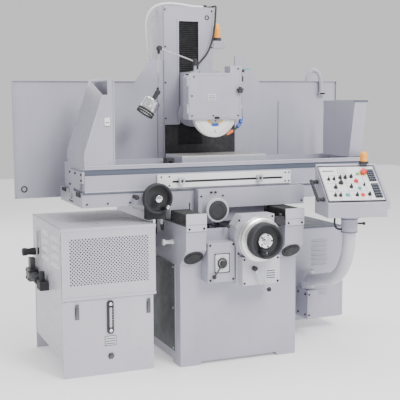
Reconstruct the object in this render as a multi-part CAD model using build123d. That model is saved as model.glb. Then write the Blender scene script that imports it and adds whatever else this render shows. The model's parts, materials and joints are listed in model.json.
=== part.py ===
"""Hydraulic surface grinder, built as separate sub-parts in one frame.

Millimetres. X runs along the table, to the operator's right; -Y faces the operator; +Z is up.
The origin is on the floor at the centre of the base's four anchor holes.
"""
from build123d import *
import math
import os

# ---- base and cross ways ----
BASE_W = 680
BASE_D = 1100
BASE_FRONT = -BASE_D / 2
OVERHANG = 85
WAY_FRONT = BASE_FRONT - OVERHANG
FOOT_H = 18
DECK_TOP = 640
BOX_TOP = 755
WAY_X = 284
BOX_W = 112
RAIL_W = 80
RAIL_TOP = 790
RAIL_BACK = 290
RIDGE = 16
ANCHOR_X = 280
ANCHOR_Y = 495
ANCHOR_R = 9

# ---- saddle and table ----
SADDLE_X = 815
SADDLE_FRONT = -400
SADDLE_BACK = 60
SADDLE_TOP = 925
WING_BOTTOM = 850
TABLE_X0, TABLE_X1 = -800, 890
TABLE_BACK = 20
TABLE_BOTTOM = 926
TABLE_TOP = 1030
RIM_TOP = 1065
VEE_Y = -330
FLAT_Y = -30
CYL_Y, CYL_Z = -170, 893
CHUCK_X, CHUCK_L, CHUCK_W, CHUCK_TOP = 20, 508, 254, 1096
CHUCK_Y = -190
BLOCK_FRONT = -455
VALVE_X, VALVE_Z = -103, 815
HAND_X, HAND_Z, HAND_R = -433, 891, 80
DOG_X = (-280, 180)
RUN = 0.05

# ---- crossfeed drive ----
FEED_X, FEED_Z = 45, 681
DRUM_R = 118
DRUM_FRONT = -700
WHEEL_FRONT = -790
GRIP_X, GRIP_Z = 21, 630

# ---- levers on the front of the base ----
SPEED_X, SPEED_Z = -142, 558
SPEED_BALL = (-193, -658, 491)
LEVER_X, LEVER_Z = 17, 527
LEVER_BALL = (80, -740, 420)

# ---- column and head ----
COVER_X = 160
COVER_FRONT = 165
COVER_BACK = 292
COVER_BOTTOM, COVER_TOP = 1252, 1945
COLUMN_FRONT = 295
SLOT_X = 62
SPINDLE_Z = 1318
WHEEL_R, WHEEL_Y0, WHEEL_Y1 = 127, -226, -192
NECK_X = 58
HEAD_TOP = 1560
SCREW_Y = 335
SPLASH_Y = 150

# ---- wheel guard and lamp ----
GUARD_X0, GUARD_X1, GUARD_LOW, GUARD_HIGH = -165, 152, 1291, 1545
DOOR_X, DOOR_Y = -173, -244
KNOB_X, KNOB_Z = 138, 1452
ELBOW = (-287, -120, 1683)
LAMP_PIVOT = (-296, -108, 1440)
LAMP_TILT = 34

# ---- electrical cabinet ----
CAB = (346, 850, -190, 270, 80, 640)
HINGE_X, HINGE_Y = 860, 277

# ---- hydraulic tank ----
TANK = (-953, -476, -500, 130, 90, 396)
HOOD = (-958, -460, -512, 145, 400, 765)

# ---- console and its arm ----
BOSS_X, BOSS_Y = 581, -262
PIVOT_X, PIVOT_Y = 547, -760
CONSOLE_TURN = -13
CONSOLE_BOTTOM, CONSOLE_TOP = 790, 1053
PANEL_LOW = (-122, 873)
PANEL_HIGH = (85, 1038)
STOP_X, STOP_UP = 84, 206
START_X, START_UP = 52, 200
SELECT_X, SELECT_UP = -57, 133

SHEET = 3


# ---- helpers ----
def block(x0, x1, y0, y1, z0, z1):
    """Box between two corners."""
    return Pos((x0 + x1) / 2, (y0 + y1) / 2, (z0 + z1) / 2) * Box(x1 - x0, y1 - y0, z1 - z0)


def bar_x(x0, x1, y, z, r):
    """Round bar along X."""
    return Pos((x0 + x1) / 2, y, z) * Rot(0, 90, 0) * Cylinder(r, x1 - x0)


def bar_y(x, y0, y1, z, r):
    """Round bar along Y."""
    return Pos(x, (y0 + y1) / 2, z) * Rot(90, 0, 0) * Cylinder(r, y1 - y0)


def bar_z(x, y, z0, z1, r):
    """Round bar along Z."""
    return Pos(x, y, (z0 + z1) / 2) * Cylinder(r, z1 - z0)


def plate_xz(points, y0, y1):
    """Outline in the XZ plane, thick from y0 to y1."""
    face = make_face(Polyline(*[(x, y0, z) for x, z in points], close=True))
    return extrude(face, amount=y1 - y0, dir=(0, 1, 0))


def plate_yz(points, x0, x1):
    """Outline in the YZ plane, thick from x0 to x1."""
    face = make_face(Polyline(*[(x0, y, z) for y, z in points], close=True))
    return extrude(face, amount=x1 - x0, dir=(1, 0, 0))


def link(a, b, r):
    """Round bar between two points."""
    a, b = Vector(*a), Vector(*b)
    length = (b - a).length
    return Plane(a, z_dir=b - a) * Pos(0, 0, length / 2) * Cylinder(r, length)


def tube(points, radii, r):
    """Round tube along straight runs joined by arcs."""
    path = FilletPolyline(*points, radius=radii)
    start = Plane(path @ 0, z_dir=path % 0)
    return sweep(start * Circle(r), path=path)


def bend_radii(points):
    """Largest arc at each corner: 0.45 of the shorter run over the tangent of half the turn."""
    radii = []
    for a, b, c in zip(points, points[1:], points[2:]):
        first, second = Vector(*b) - Vector(*a), Vector(*c) - Vector(*b)
        turn = math.radians(first.get_angle(second))
        radii.append(0.45 * min(first.length, second.length) / math.tan(turn / 2))
    return radii


def hose(points, r):
    """Hose along a route, with the largest arc at every corner."""
    return tube(points, bend_radii(points), r)


def mirror_pair(shape):
    """A shape and its mirror image across the centre plane."""
    return [shape, mirror(shape, Plane.YZ)]


# ---- base ----
def base_casting():
    body = block(-BASE_W / 2, BASE_W / 2, BASE_FRONT, -BASE_FRONT, FOOT_H, DECK_TOP)
    wall = 28
    body -= block(-BASE_W / 2 + wall, BASE_W / 2 - wall, BASE_FRONT + wall, -BASE_FRONT - wall,
                  FOOT_H, DECK_TOP - 40)
    body += block(-WAY_X, WAY_X, BASE_FRONT, BASE_FRONT + 20, DECK_TOP, 727)
    body += block(-WAY_X, WAY_X, COLUMN_FRONT, -BASE_FRONT, DECK_TOP, BOX_TOP)
    shoulder = [(BASE_FRONT, 545), (WAY_FRONT, 545 + OVERHANG), (WAY_FRONT, BOX_TOP),
                (-BASE_FRONT, BOX_TOP), (-BASE_FRONT, 545)]
    for side in (-1, 1):
        x = side * WAY_X
        body += plate_yz(shoulder, x - BOX_W / 2, x + BOX_W / 2)
        body += block(x - RAIL_W / 2, x + RAIL_W / 2, WAY_FRONT + 8, RAIL_BACK, BOX_TOP, RAIL_TOP)
    ridge = [(-WAY_X - RIDGE, RAIL_TOP), (-WAY_X, RAIL_TOP + RIDGE), (-WAY_X + RIDGE, RAIL_TOP)]
    body += plate_xz(ridge, WAY_FRONT + 8, RAIL_BACK)
    for sx in (-1, 1):
        for sy in (-1, 1):
            x, y = sx * ANCHOR_X, sy * ANCHOR_Y
            body += block(*sorted((sx * 225, sx * BASE_W / 2)), *sorted((sy * 440, sy * 550)), 0, FOOT_H)
            body += block(x - 34, x + 34, y - 34, y + 34, FOOT_H, 90)
            body -= bar_z(x, y, 0, 50, ANCHOR_R)
    body -= block(-BASE_W / 2, -BASE_W / 2 + 5, -470, 330, 75, 530)
    body -= bar_y(FEED_X, BASE_FRONT, BASE_FRONT + 20, FEED_Z, 20)
    body += block(FEED_X - 35, FEED_X + 35, 45, 75, DECK_TOP, 720)
    body -= bar_y(FEED_X, 45, 75, FEED_Z, 12 + RUN)
    return [body]


def base_covers():
    plate = block(WAY_X - BOX_W / 2, WAY_X + BOX_W / 2, WAY_FRONT - 8, WAY_FRONT, 732, 822)
    plate = fillet(plate.edges().filter_by(Axis.Y), 5)
    side = block(-BASE_W / 2 - 4, -BASE_W / 2, -480, 340, 66, 540)
    side = fillet(side.edges().filter_by(Axis.X), 12)
    return [*mirror_pair(plate), side]


def lifting_plugs():
    middle = 545 + OVERHANG * 0.52
    place = Pos(WAY_X, BASE_FRONT - OVERHANG * 0.52, middle) * Rot(135, 0, 0)
    plug = place * Pos(0, 0, 3) * Cylinder(52, 6)
    plug += place * Pos(0, 0, 8) * Cylinder(40, 4)
    return mirror_pair(plug)


def way_bellows():
    bellows = block(WAY_X - 50, WAY_X + 50, WAY_FRONT + 1, SADDLE_FRONT - 2, 760, 818)
    bellows -= block(WAY_X - 44, WAY_X + 44, WAY_FRONT + 1, SADDLE_FRONT - 2, 760, 811)
    return mirror_pair(bellows)


# ---- column ----
def column_casting():
    profile = [(COLUMN_FRONT, BOX_TOP), (545, BOX_TOP), (545, 860), (392, 1500), (392, 1900),
               (COLUMN_FRONT, 1900)]
    column = plate_yz(profile, -150, 150)
    column += block(-225, 225, COLUMN_FRONT, 545, BOX_TOP, BOX_TOP + 40)
    column -= block(-75, 75, 312, 365, BOX_TOP + 60, 1880)
    column -= block(-32, 32, COLUMN_FRONT, 312, 950, 1880)
    for side in (-1, 1):
        column += block(*sorted((side * 100, side * 150)), COLUMN_FRONT - 27, COLUMN_FRONT, 1256, 1885)
    column -= bar_z(0, SCREW_Y, 1880, 1900, 12 + RUN)
    column -= bar_z(0, SCREW_Y, BOX_TOP + 35, BOX_TOP + 60, 12 + RUN)
    return [column]


def column_cover():
    cover = block(-COVER_X, COVER_X, COVER_FRONT, COVER_BACK, COVER_BOTTOM, COVER_TOP)
    cover = fillet(cover.edges().filter_by(Axis.Z).group_by(Axis.Y)[0], 10)
    cover -= block(-COVER_X + SHEET, COVER_X - SHEET, COVER_FRONT + SHEET, COVER_BACK, COVER_BOTTOM,
                   COVER_TOP - SHEET)
    cover -= block(-SLOT_X, SLOT_X, COVER_FRONT, COVER_FRONT + SHEET, COVER_BOTTOM, 1860)
    back = block(-150, 150, COVER_BACK, 392, 1901, 1904) - bar_z(0, SCREW_Y, 1901, 1904, 20)
    return [cover + back]


def column_bellows():
    return [block(-70, 70, COVER_FRONT + SHEET + 1, COVER_FRONT + SHEET + 13, HEAD_TOP + 4, 1856)]


def column_beacon():
    bracket = block(COVER_X, 245, 182, 258, 1705, 1708) + block(COVER_X, COVER_X + 3, 182, 258, 1660, 1752)
    box = block(COVER_X + 8, 243, 184, 256, 1708, 1752)
    stem = bar_z(206, 220, 1752, 1764, 27)
    lens = bar_z(206, 220, 1764, 1835, 23) + Pos(206, 220, 1835) * Sphere(23)
    return [bracket, box, stem, lens]


def elevating_screw():
    screw = bar_z(0, SCREW_Y, BOX_TOP + 62, 1878, 15)
    screw += bar_z(0, SCREW_Y, BOX_TOP + 36, BOX_TOP + 62, 12)
    screw += bar_z(0, SCREW_Y, 1878, 1908, 12)
    screw += bar_z(0, SCREW_Y, 1908, 1918, 30)
    return [screw]


# ---- controls on the front of the base ----
def speed_valve_box():
    box = block(-220, -66, -638, BASE_FRONT, 458, 665)
    box = chamfer(box.edges().filter_by(Axis.Z).group_by(Axis.Y)[0], 4)
    dial = block(-187, -98, -642, -638, 505, 611)
    hole = bar_y(SPEED_X, -642, -610, SPEED_Z, 8 + RUN)
    return [box - hole, dial - hole]


def speed_lever():
    lever = bar_y(SPEED_X, -643, -615, SPEED_Z, 8) + bar_y(SPEED_X, -668, -643, SPEED_Z, 15)
    lever += link((SPEED_X, -655, SPEED_Z), SPEED_BALL, 4)
    return [lever + Pos(*SPEED_BALL) * Rot(37, 21, 13) * Sphere(11)]


def crossfeed_gearbox():
    outline = [(-62, 438), (160, 438), (160, 800), (-25, 800), (-62, 745)]
    housing = plate_xz(outline, -640, BASE_FRONT)
    housing += block(-48, 168, -690, -640, 438, 586)
    housing += bar_y(FEED_X, DRUM_FRONT, -640, FEED_Z, DRUM_R)
    housing -= bar_y(FEED_X, DRUM_FRONT, BASE_FRONT, FEED_Z, 12 + RUN)
    housing -= bar_y(LEVER_X, -690, -650, LEVER_Z, 6 + RUN)
    return [housing]


def feed_lever():
    lever = bar_y(LEVER_X, -692, -655, LEVER_Z, 6) + bar_y(LEVER_X, -716, -692, LEVER_Z, 12)
    lever += link((LEVER_X, -706, LEVER_Z), LEVER_BALL, 5.5)
    return [lever + Pos(*LEVER_BALL) * Sphere(12)]


def crossfeed_screw():
    screw = bar_y(FEED_X, WHEEL_FRONT - 6, BASE_FRONT + 25, FEED_Z, 12)
    screw += bar_y(FEED_X, BASE_FRONT + 25, 43, FEED_Z, 14)
    return [screw + bar_y(FEED_X, 43, 80, FEED_Z, 12)]


def crossfeed_dial():
    dial = bar_y(FEED_X, -722, DRUM_FRONT - 2, FEED_Z, 114)
    dial += bar_y(FEED_X, -744, -722, FEED_Z, 102)
    dial -= bar_y(FEED_X, -744, DRUM_FRONT - 2, FEED_Z, 12 + RUN)
    return [dial]


def crossfeed_handwheel():
    wheel = bar_y(FEED_X, -758, -746, FEED_Z, 93)
    wheel += bar_y(FEED_X, WHEEL_FRONT, -758, FEED_Z, 93) - bar_y(FEED_X, WHEEL_FRONT, -758, FEED_Z, 78)
    wheel += bar_y(FEED_X, WHEEL_FRONT - 4, -758, FEED_Z, 26)
    wheel -= bar_y(FEED_X, WHEEL_FRONT - 4, -746, FEED_Z, 12 + RUN)
    return [wheel + bar_y(GRIP_X, -836, -758, GRIP_Z, 6)]


def crossfeed_grip():
    grip = bar_y(GRIP_X, -842, -759, GRIP_Z, 13)
    return [grip - bar_y(GRIP_X, -836.5, -759, GRIP_Z, 6 + RUN)]


def limit_switch():
    switch = block(166, 222, -640, -606, 739, 781)
    switch += block(170, 218, -606, -602, 727, 781) + block(170, 218, -606, BASE_FRONT + 20, 727, 731)
    roller = bar_x(197, 211, -622, 789, 9) + block(199, 209, -628, -616, 781, 789)
    rod = bar_z(200, -575, 650, 727, 7)
    return [switch + roller, rod]


# ---- electrical cabinet and console arm ----
def electrical_cabinet():
    x0, x1, y0, y1, z0, z1 = CAB
    shell = block(*CAB) - block(x0 + SHEET, x1, y0 + SHEET, y1 - SHEET, z0 + SHEET, z1 - SHEET)
    shell += block(BASE_W / 2, x0, y0 + 30, y1 - 30, z0 + 60, z1 - 110)
    plate = block(x0 + 12, x0 + 16, y0 + 40, y1 - 40, z0 + 40, z1 - 40)
    plate += block(x0 + SHEET, x0 + 12, -20, 20, z0 + 100, z1 - 100)
    for z in (z0 + 70, z1 - 120):
        for low in (z, z + 52):
            shell += block(x1 + 2, HINGE_X + 2, y1, HINGE_Y + 5, low - 8, low)
            shell += block(x1 - 6, x1 + 2, y1 - 2, y1 + 4, low - 8, low)
        shell += bar_z(HINGE_X, HINGE_Y, z - 8, z + 52, 4)
    return [shell, plate]


def cabinet_door():
    x0, x1, y0, y1, z0, z1 = CAB
    door = block(x1 + 2, x1 + 18, y0 + 2, y1 - 2, z0 + 2, z1 - 2)
    door -= block(x1 + 2, x1 + 15, y0 + 14, y1 - 14, z0 + 14, z1 - 14)
    for z in (z0 + 70, z1 - 120):
        knuckle = bar_z(HINGE_X, HINGE_Y, z + 0.5, z + 43.5, 7)
        knuckle += block(HINGE_X - 5, HINGE_X + 5, y1 - 3, HINGE_Y, z + 0.5, z + 43.5)
        door += knuckle
        door -= bar_z(HINGE_X, HINGE_Y, z, z + 44, 4 + RUN)
    return [door]


def arm_bracket():
    box = block(BOSS_X - 35, BOSS_X + 35, -325, CAB[2], 117, 286)
    return [box + bar_z(BOSS_X, BOSS_Y, 286, 388, 20)]


def support_arm():
    arm = tube([(BOSS_X, BOSS_Y, 335), (PIVOT_X, PIVOT_Y, 450), (PIVOT_X, PIVOT_Y, 692)], [270], 35)
    arm += bar_z(BOSS_X, BOSS_Y, 287, 398, 37)
    arm -= bar_z(BOSS_X, BOSS_Y, 280, 389, 20 + RUN)
    return [arm + bar_z(PIVOT_X, PIVOT_Y, 690, 770, 22)]


def console_place(shape):
    """Put a piece drawn about the swivel axis in its place on the arm."""
    return Pos(PIVOT_X, PIVOT_Y, 0) * Rot(0, 0, CONSOLE_TURN) * shape


def on_panel(x, along, shape):
    """Put a piece on the sloped panel, x across and so far up from its lower edge."""
    (y0, z0), (y1, z1) = PANEL_LOW, PANEL_HIGH
    length = math.hypot(y1 - y0, z1 - z0)
    y = y0 + (y1 - y0) * along / length
    z = z0 + (z1 - z0) * along / length
    tilt = math.degrees(math.atan2(z1 - z0, y1 - y0))
    return console_place(Pos(x, y, z) * Rot(tilt, 0, 0) * shape)


def console_box():
    low, high = CONSOLE_BOTTOM, CONSOLE_TOP
    outer = [(-133, low), (-133, 863), PANEL_LOW, PANEL_HIGH, (90, high), (102, high), (102, low)]
    inner = [(-130, low + 3), (-130, 861), (-120, 879), (82, 1040), (90, 1045), (99, 1045), (99, low + 3)]
    box = plate_yz(outer, -160, 160) - plate_yz(inner, -157, 157)
    mouth = [(-112, 868), (76, 1018), (50, 1055), (-128, 905)]
    box -= plate_yz(mouth, -150, 150)
    collar = bar_z(0, 0, 694, 772, 44) - bar_z(0, 0, 694, 772, 22 + RUN)
    flange = bar_z(0, 0, 772, low, 54)
    side = plate_yz([(-133, 830), (-133, 867), (90, high), (102, high), (102, 900)], 160, 174)
    return [console_place(piece) for piece in (box, collar, flange, side)] + console_panel()


def console_panel():
    (y0, z0), (y1, z1) = PANEL_LOW, PANEL_HIGH
    length = math.hypot(y1 - y0, z1 - z0)
    panel = Pos(0, length / 2, 2) * Box(306, length - 8, 4)
    for x, along, r in ((STOP_X, STOP_UP, 11), (START_X, START_UP, 8), (SELECT_X, SELECT_UP, 8)):
        panel -= Pos(x, along, 2) * Cylinder(r + 0.4, 4)
    return [on_panel(0, 0, panel)]


def estop_button():
    knob = Pos(0, 0, 23) * Cylinder(18, 12) + Pos(0, 0, 4) * Cylinder(11, 36)
    return [on_panel(STOP_X, STOP_UP, knob)]


def start_button():
    return [on_panel(START_X, START_UP, Pos(0, 0, 1) * Cylinder(8, 22))]


def mode_selector():
    knob = Pos(0, 0, 12) * Cylinder(13, 14) + Pos(0, 0, -1) * Cylinder(8, 14)
    knob += Pos(0, 0, 21) * Box(6, 25, 7)
    return [on_panel(SELECT_X, SELECT_UP, knob)]


def console_fittings():
    handle = link((-160, -62, 880), (-200, -62, 880), 7) + link((-160, 54, 962), (-200, 54, 962), 7)
    handle += link((-195, -67, 877), (-195, 59, 966), 8)
    base = bar_z(105, 82, CONSOLE_TOP, 1066, 26)
    base += block(85, 125, 91, 101, CONSOLE_TOP - 4, CONSOLE_TOP)
    base -= block(80, 130, 88, 104, CONSOLE_TOP - 8, CONSOLE_TOP)
    lens = bar_z(105, 82, 1066, 1098, 22) + Pos(105, 82, 1098) * Sphere(22)
    return [console_place(piece) for piece in (handle, base, lens)]


# ---- hydraulic tank ----
def tank_body():
    x0, x1, y0, y1, z0, z1 = TANK
    tank = block(*TANK) - block(x0 + 4, x1 - 4, y0 + 4, y1 - 4, z0 + 4, z1 - 4)
    tank -= block(x0 + 120, x1 - 120, y0 + 200, y1 - 120, z1 - 4, z1)
    front = block(x0 - 2, x1 + 2, y0 - 6, y0, 0, z1)
    back = block(x0 - 2, x1 + 2, y1, y1 + 6, 0, z1)
    flange = block(x0 - 4, x1 + 14, y0 - 6, y1 + 6, z1, HOOD[4])
    flange -= block(x0 + 120, x1 - 120, y0 + 200, y1 - 120, z1, HOOD[4])
    return [tank + front + back + flange]


def tank_cover():
    x0, x1, y0, y1, z0, z1 = HOOD
    hood = block(*HOOD) - block(x0 + 2, x1 - 2, y0 + 2, y1 - 2, z0, z1 - 2)
    columns, rows, pitch = 34, 20, 12.2
    left, low = -910, 476
    hole = Rot(90, 0, 0) * Cylinder(3.2, 6)
    holes = [Pos(left + pitch * (i + 0.5 * (j % 2)), y0, low + pitch * j) * hole
             for j in range(0, rows, 2) for i in range(0, columns, 2)]
    return [hood - holes]


def tank_fittings():
    front = TANK[2] - 6
    gauge = Pos(-708, front - 6, 299) * Rot(90, 0, 0) * extrude(
        SlotOverall(174, 35, rotation=90), amount=6, both=True)
    plate = block(-738, -678, front - 2, front, 150, 200)
    plug = bar_y(-706, front - 12, front, 95, 12)
    latches = [block(x, x + 14, front - 10, front, 296, 360) for x in (-892, -512)]
    manifold = block(-1010, HOOD[0], 30, 120, 402, 470)
    ram = bar_y(-984, -120, 30, 436, 26)
    joint = block(-1006, HOOD[0], -230, -150, 402, 448)
    knob = bar_x(-1030, HOOD[0], 100, 560, 22)
    return [gauge, plate, plug, *latches, manifold, ram, joint, knob]


def pump_motor():
    motor = bar_z(-715, -150, HOOD[4] + 130, HOOD[4] + 340, 92)
    motor += bar_z(-715, -150, HOOD[4] + 60, HOOD[4] + 130, 60)
    motor += bar_z(-715, -150, HOOD[4], HOOD[4] + 60, 105)
    return [motor]


# ---- conduits and cables ----
def conduits():
    over_column = hose([(-182, 345, 1420), (-182, 345, 1540), (-188, 347, 1660),
                                          (-200, 346, 1780), (-206, 342, 1880), (-168, 332, 1952),
                                          (-100, 318, 1976), (-20, 298, 1974), (50, 278, 1962),
                                          (90, 270, 1957), (138, 270, 1957)], 8)
    clamp = block(-190, -150, 332, 358, 1408, 1420)
    gland = block(138, 158, 258, 282, COVER_TOP, 1969)
    cabinet_loop = hose([(560, -120, 80), (560, -120, 52), (532, -119, 27),
                                            (486, -117, 20), (440, -114, 25), (400, -112, 46),
                                            (372, -111, 60), (340, -111, 60)], 12)
    lines = []
    for z in (570, 598, 626):
        lines.append(bar_x(HOOD[1], -BASE_W / 2, z - 600, z, 10))
    return [over_column, clamp, gland, cabinet_loop, *lines]


def head_cable():
    return [hose([(158, 270, 1957), (186, 270, 1957), (200, 236, 1962), (186, 184, 1956),
                                (168, 150, 1912), (160, 138, 1850), (146, 130, 1780), (124, 122, 1715),
                                (92, 112, 1662), (56, 102, 1630), (32, 97, 1606), (26, 96, 1590),
                                (26, 96, 1576)], 6)]


def saddle_hoses():
    rear = hose([(-440, -425, 778), (-440, -425, 740), (-433, -412, 704),
                                (-418, -384, 688), (-402, -350, 700), (-393, -326, 740),
                                (-390, -318, 796), (-390, -318, WING_BOTTOM)], 8)
    front = hose([(-398, -430, 778), (-398, -430, 748), (-390, -418, 722),
                                 (-380, -396, 714), (-371, -372, 728), (-366, -357, 764),
                                 (-365, -352, 808), (-365, -352, WING_BOTTOM)], 7)
    return [rear, front]


# ---- saddle ----
def saddle_casting():
    body = block(-SADDLE_X, SADDLE_X, SADDLE_FRONT, SADDLE_BACK, WING_BOTTOM, SADDLE_TOP)
    body += block(-222, 222, SADDLE_FRONT, SADDLE_BACK, 742, WING_BOTTOM)
    body += block(-197, 440, BLOCK_FRONT, SADDLE_FRONT, 822, SADDLE_TOP)
    body += block(-197, -70, BLOCK_FRONT, SADDLE_FRONT, 742, 822)
    for side in (-1, 1):
        x = side * WAY_X
        body += block(x - 55, x + 55, SADDLE_FRONT, SADDLE_BACK, RAIL_TOP + 1, WING_BOTTOM)
    groove = RIDGE + 1.5
    body -= plate_xz([(-WAY_X - groove, RAIL_TOP), (-WAY_X, RAIL_TOP + groove), (-WAY_X + groove, RAIL_TOP)],
                     SADDLE_FRONT, SADDLE_BACK)
    body -= plate_yz([(VEE_Y - 22, SADDLE_TOP), (VEE_Y, SADDLE_TOP - 22), (VEE_Y + 22, SADDLE_TOP)],
                     -SADDLE_X, SADDLE_X)
    body -= block(-SADDLE_X, SADDLE_X, FLAT_Y - 22, FLAT_Y + 22, SADDLE_TOP - 14, SADDLE_TOP)
    body -= block(-SADDLE_X, SADDLE_X, CYL_Y - 45, CYL_Y + 45, CYL_Z - 31, SADDLE_TOP)
    body += block(FEED_X - 30, FEED_X + 30, -250, -190, 655, 742)
    body -= bar_y(FEED_X, -250, -190, FEED_Z, 14 + RUN)
    body += bar_y(HAND_X, -446, SADDLE_FRONT, HAND_Z, 34)
    body -= bar_y(HAND_X, -446, -350, HAND_Z, 10 + RUN)
    return [body]


def hydraulic_cylinder():
    barrel = bar_x(-375, 345, CYL_Y, CYL_Z, 28) - bar_x(-355, 325, CYL_Y, CYL_Z, 20)
    barrel -= bar_x(-375, 345, CYL_Y, CYL_Z, 11 + RUN)
    feet = [block(x - 12, x + 12, CYL_Y - 36, CYL_Y + 36, CYL_Z - 31, CYL_Z - 15) for x in (-320, 320)]
    for foot in feet:
        barrel += foot
    return [barrel - bar_x(-355, 325, CYL_Y, CYL_Z, 20)]


def saddle_valves():
    boss = bar_y(VALVE_X, BLOCK_FRONT - 45, BLOCK_FRONT, VALVE_Z, 66)
    boss -= bar_y(VALVE_X, BLOCK_FRONT - 22, BLOCK_FRONT - 8, VALVE_Z, 70)
    boss += bar_y(VALVE_X, BLOCK_FRONT - 22, BLOCK_FRONT - 8, VALVE_Z, 44)
    disc = bar_y(VALVE_X, BLOCK_FRONT - 50, BLOCK_FRONT - 45, VALVE_Z, 52)
    pins = [bar_y(x, BLOCK_FRONT - 14, BLOCK_FRONT, 908, 5) for x in (-124, -100)]
    block_left = block(-484, -376, -446, SADDLE_FRONT, 778, WING_BOTTOM)
    block_left -= bar_y(HAND_X, -447, SADDLE_FRONT, HAND_Z, 44)
    return [boss, disc, *pins, block_left]


def reversing_lever():
    ring = bar_y(VALVE_X, BLOCK_FRONT - 21, BLOCK_FRONT - 9, VALVE_Z, 60)
    ring -= bar_y(VALVE_X, BLOCK_FRONT - 21, BLOCK_FRONT - 9, VALVE_Z, 44 + RUN)
    root = (VALVE_X + 8, BLOCK_FRONT - 15, VALVE_Z - 62)
    ball = (VALVE_X + 17, BLOCK_FRONT - 140, VALVE_Z - 74)
    knee = (VALVE_X + 12, BLOCK_FRONT - 18, VALVE_Z - 76)
    lever = ring + link(root, knee, 6) + link(knee, ball, 5)
    return [lever + Pos(*knee) * Sphere(6) + Pos(*ball) * Sphere(9)]


def rear_splash_guard():
    left = [(-1054, 853), (292, 853), (292, 1056), (-163, 1056), (-163, 1631), (-248, 1631), (-342, 1508),
            (-1054, 1508)]
    right = [(292, 853), (1004, 853), (1004, 1514), (462, 1514), (336, 1660), (292, 1660)]
    sheets = []
    for outline in (left, right):
        sheets.append(plate_xz(outline, SPLASH_Y, SPLASH_Y + SHEET))
    for x0, x1 in ((-560, -500), (500, 560)):
        sheets[0 if x0 < 0 else 1] += block(x0, x1, SADDLE_BACK, SPLASH_Y, 856, 912)
    sheets[0] += block(-1054, -342, SPLASH_Y, SPLASH_Y + 14, 1505, 1508)
    sheets[1] += block(462, 1004, SPLASH_Y, SPLASH_Y + 14, 1511, 1514)
    arch = hose([(806, SPLASH_Y + 22, 1440), (806, SPLASH_Y + 22, 1500),
                                  (812, SPLASH_Y + 18, 1556), (846, SPLASH_Y + 4, 1588),
                                  (880, SPLASH_Y - 10, 1560), (888, SPLASH_Y - 17, 1500),
                                  (888, SPLASH_Y - 17, 1440)], 14)
    clips = [block(784, 828, SPLASH_Y + SHEET, SPLASH_Y + 36, 1428, 1440),
             block(866, 910, SPLASH_Y - 34, SPLASH_Y, 1428, 1440)]
    return [*sheets, arch, *clips]


def splash_curtain():
    curtain = block(-161, 290, SPLASH_Y - 3.5, SPLASH_Y - 0.5, 1050, 1245)
    return [curtain - block(-82, 82, SPLASH_Y - 4, SPLASH_Y, 1140, 1245)]


def table_handwheel():
    wheel = bar_y(HAND_X, -462, -452, HAND_Z, HAND_R)
    wheel += bar_y(HAND_X, -492, -462, HAND_Z, HAND_R) - bar_y(HAND_X, -492, -462, HAND_Z, HAND_R - 13)
    wheel += bar_y(HAND_X, -500, -450, HAND_Z, 22)
    wheel += bar_y(HAND_X, -452, -352, HAND_Z, 10)
    grip = bar_y(HAND_X + 34, -548, -462.5, HAND_Z - 40, 12)
    return [wheel, grip]


# ---- table ----
def table_casting():
    front, back = SADDLE_FRONT, TABLE_BACK
    outline = [(front, TABLE_BOTTOM), (front, 1014), (front + 8, 1014), (front + 8, 1044), (front, 1044),
               (front, RIM_TOP), (front + 8, RIM_TOP), (front + 8, 1046), (front + 14, 1000),
               (-334, 1000), (-334, TABLE_TOP), (-46, TABLE_TOP), (-46, 1000), (back - 8, 1000),
               (back - 8, RIM_TOP), (back, RIM_TOP), (back, TABLE_BOTTOM)]
    table = plate_yz(outline, TABLE_X0, TABLE_X1)
    depth = 22 - 1.5
    table += plate_yz([(VEE_Y - depth, TABLE_BOTTOM), (VEE_Y, TABLE_BOTTOM - depth - 0.5),
                       (VEE_Y + depth, TABLE_BOTTOM)], TABLE_X0, TABLE_X1)
    table += block(TABLE_X0, TABLE_X1, FLAT_Y - 20, FLAT_Y + 20, SADDLE_TOP - 13, TABLE_BOTTOM)
    table -= block(TABLE_X0, TABLE_X1, CHUCK_Y - 8, CHUCK_Y + 8, 1004, TABLE_TOP)
    table -= block(TABLE_X0, TABLE_X1, CHUCK_Y - 14, CHUCK_Y + 14, 1004, 1015)
    for x0, x1 in ((TABLE_X0, TABLE_X0 + 8), (TABLE_X1 - 8, TABLE_X1)):
        table += block(x0, x1, front + 8, back - 8, 1000, RIM_TOP)
    return [table]


def piston_rod():
    rod = bar_x(TABLE_X0 - 18, TABLE_X1 + 18, CYL_Y, CYL_Z, 11)
    rod += bar_x(-15, 15, CYL_Y, CYL_Z, 20 - RUN)
    return [rod]


def rod_brackets():
    brackets = []
    for x0, x1 in ((TABLE_X0 - 12, TABLE_X0), (TABLE_X1, TABLE_X1 + 12)):
        plate = block(x0, x1, -396, -130, 940, 1035) + block(x0, x1, -210, -130, CYL_Z - 24, 940)
        plate -= block(x0, x1, -396, -340, 940, 975)
        brackets.append(plate - bar_x(x0, x1, CYL_Y, CYL_Z, 11 + RUN))
    return brackets


def dog_rail():
    rail = block(-411, 380, SADDLE_FRONT - 12, SADDLE_FRONT, 936, 1008)
    return [rail - block(-327, 329, SADDLE_FRONT - 12, SADDLE_FRONT - 3, 962, 974)]


def trip_dog(x):
    dog = block(x - 15, x + 15, -436, SADDLE_FRONT - 12.4, 950, 990)
    dog = chamfer(dog.edges().filter_by(Axis.Y).group_by(Axis.Z)[0], 8)
    return [dog + block(x - 12, x + 12, SADDLE_FRONT - 12.4, SADDLE_FRONT - 4, 962.4, 973.6)]


def left_trip_dog():
    return trip_dog(DOG_X[0])


def right_trip_dog():
    return trip_dog(DOG_X[1])


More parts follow.
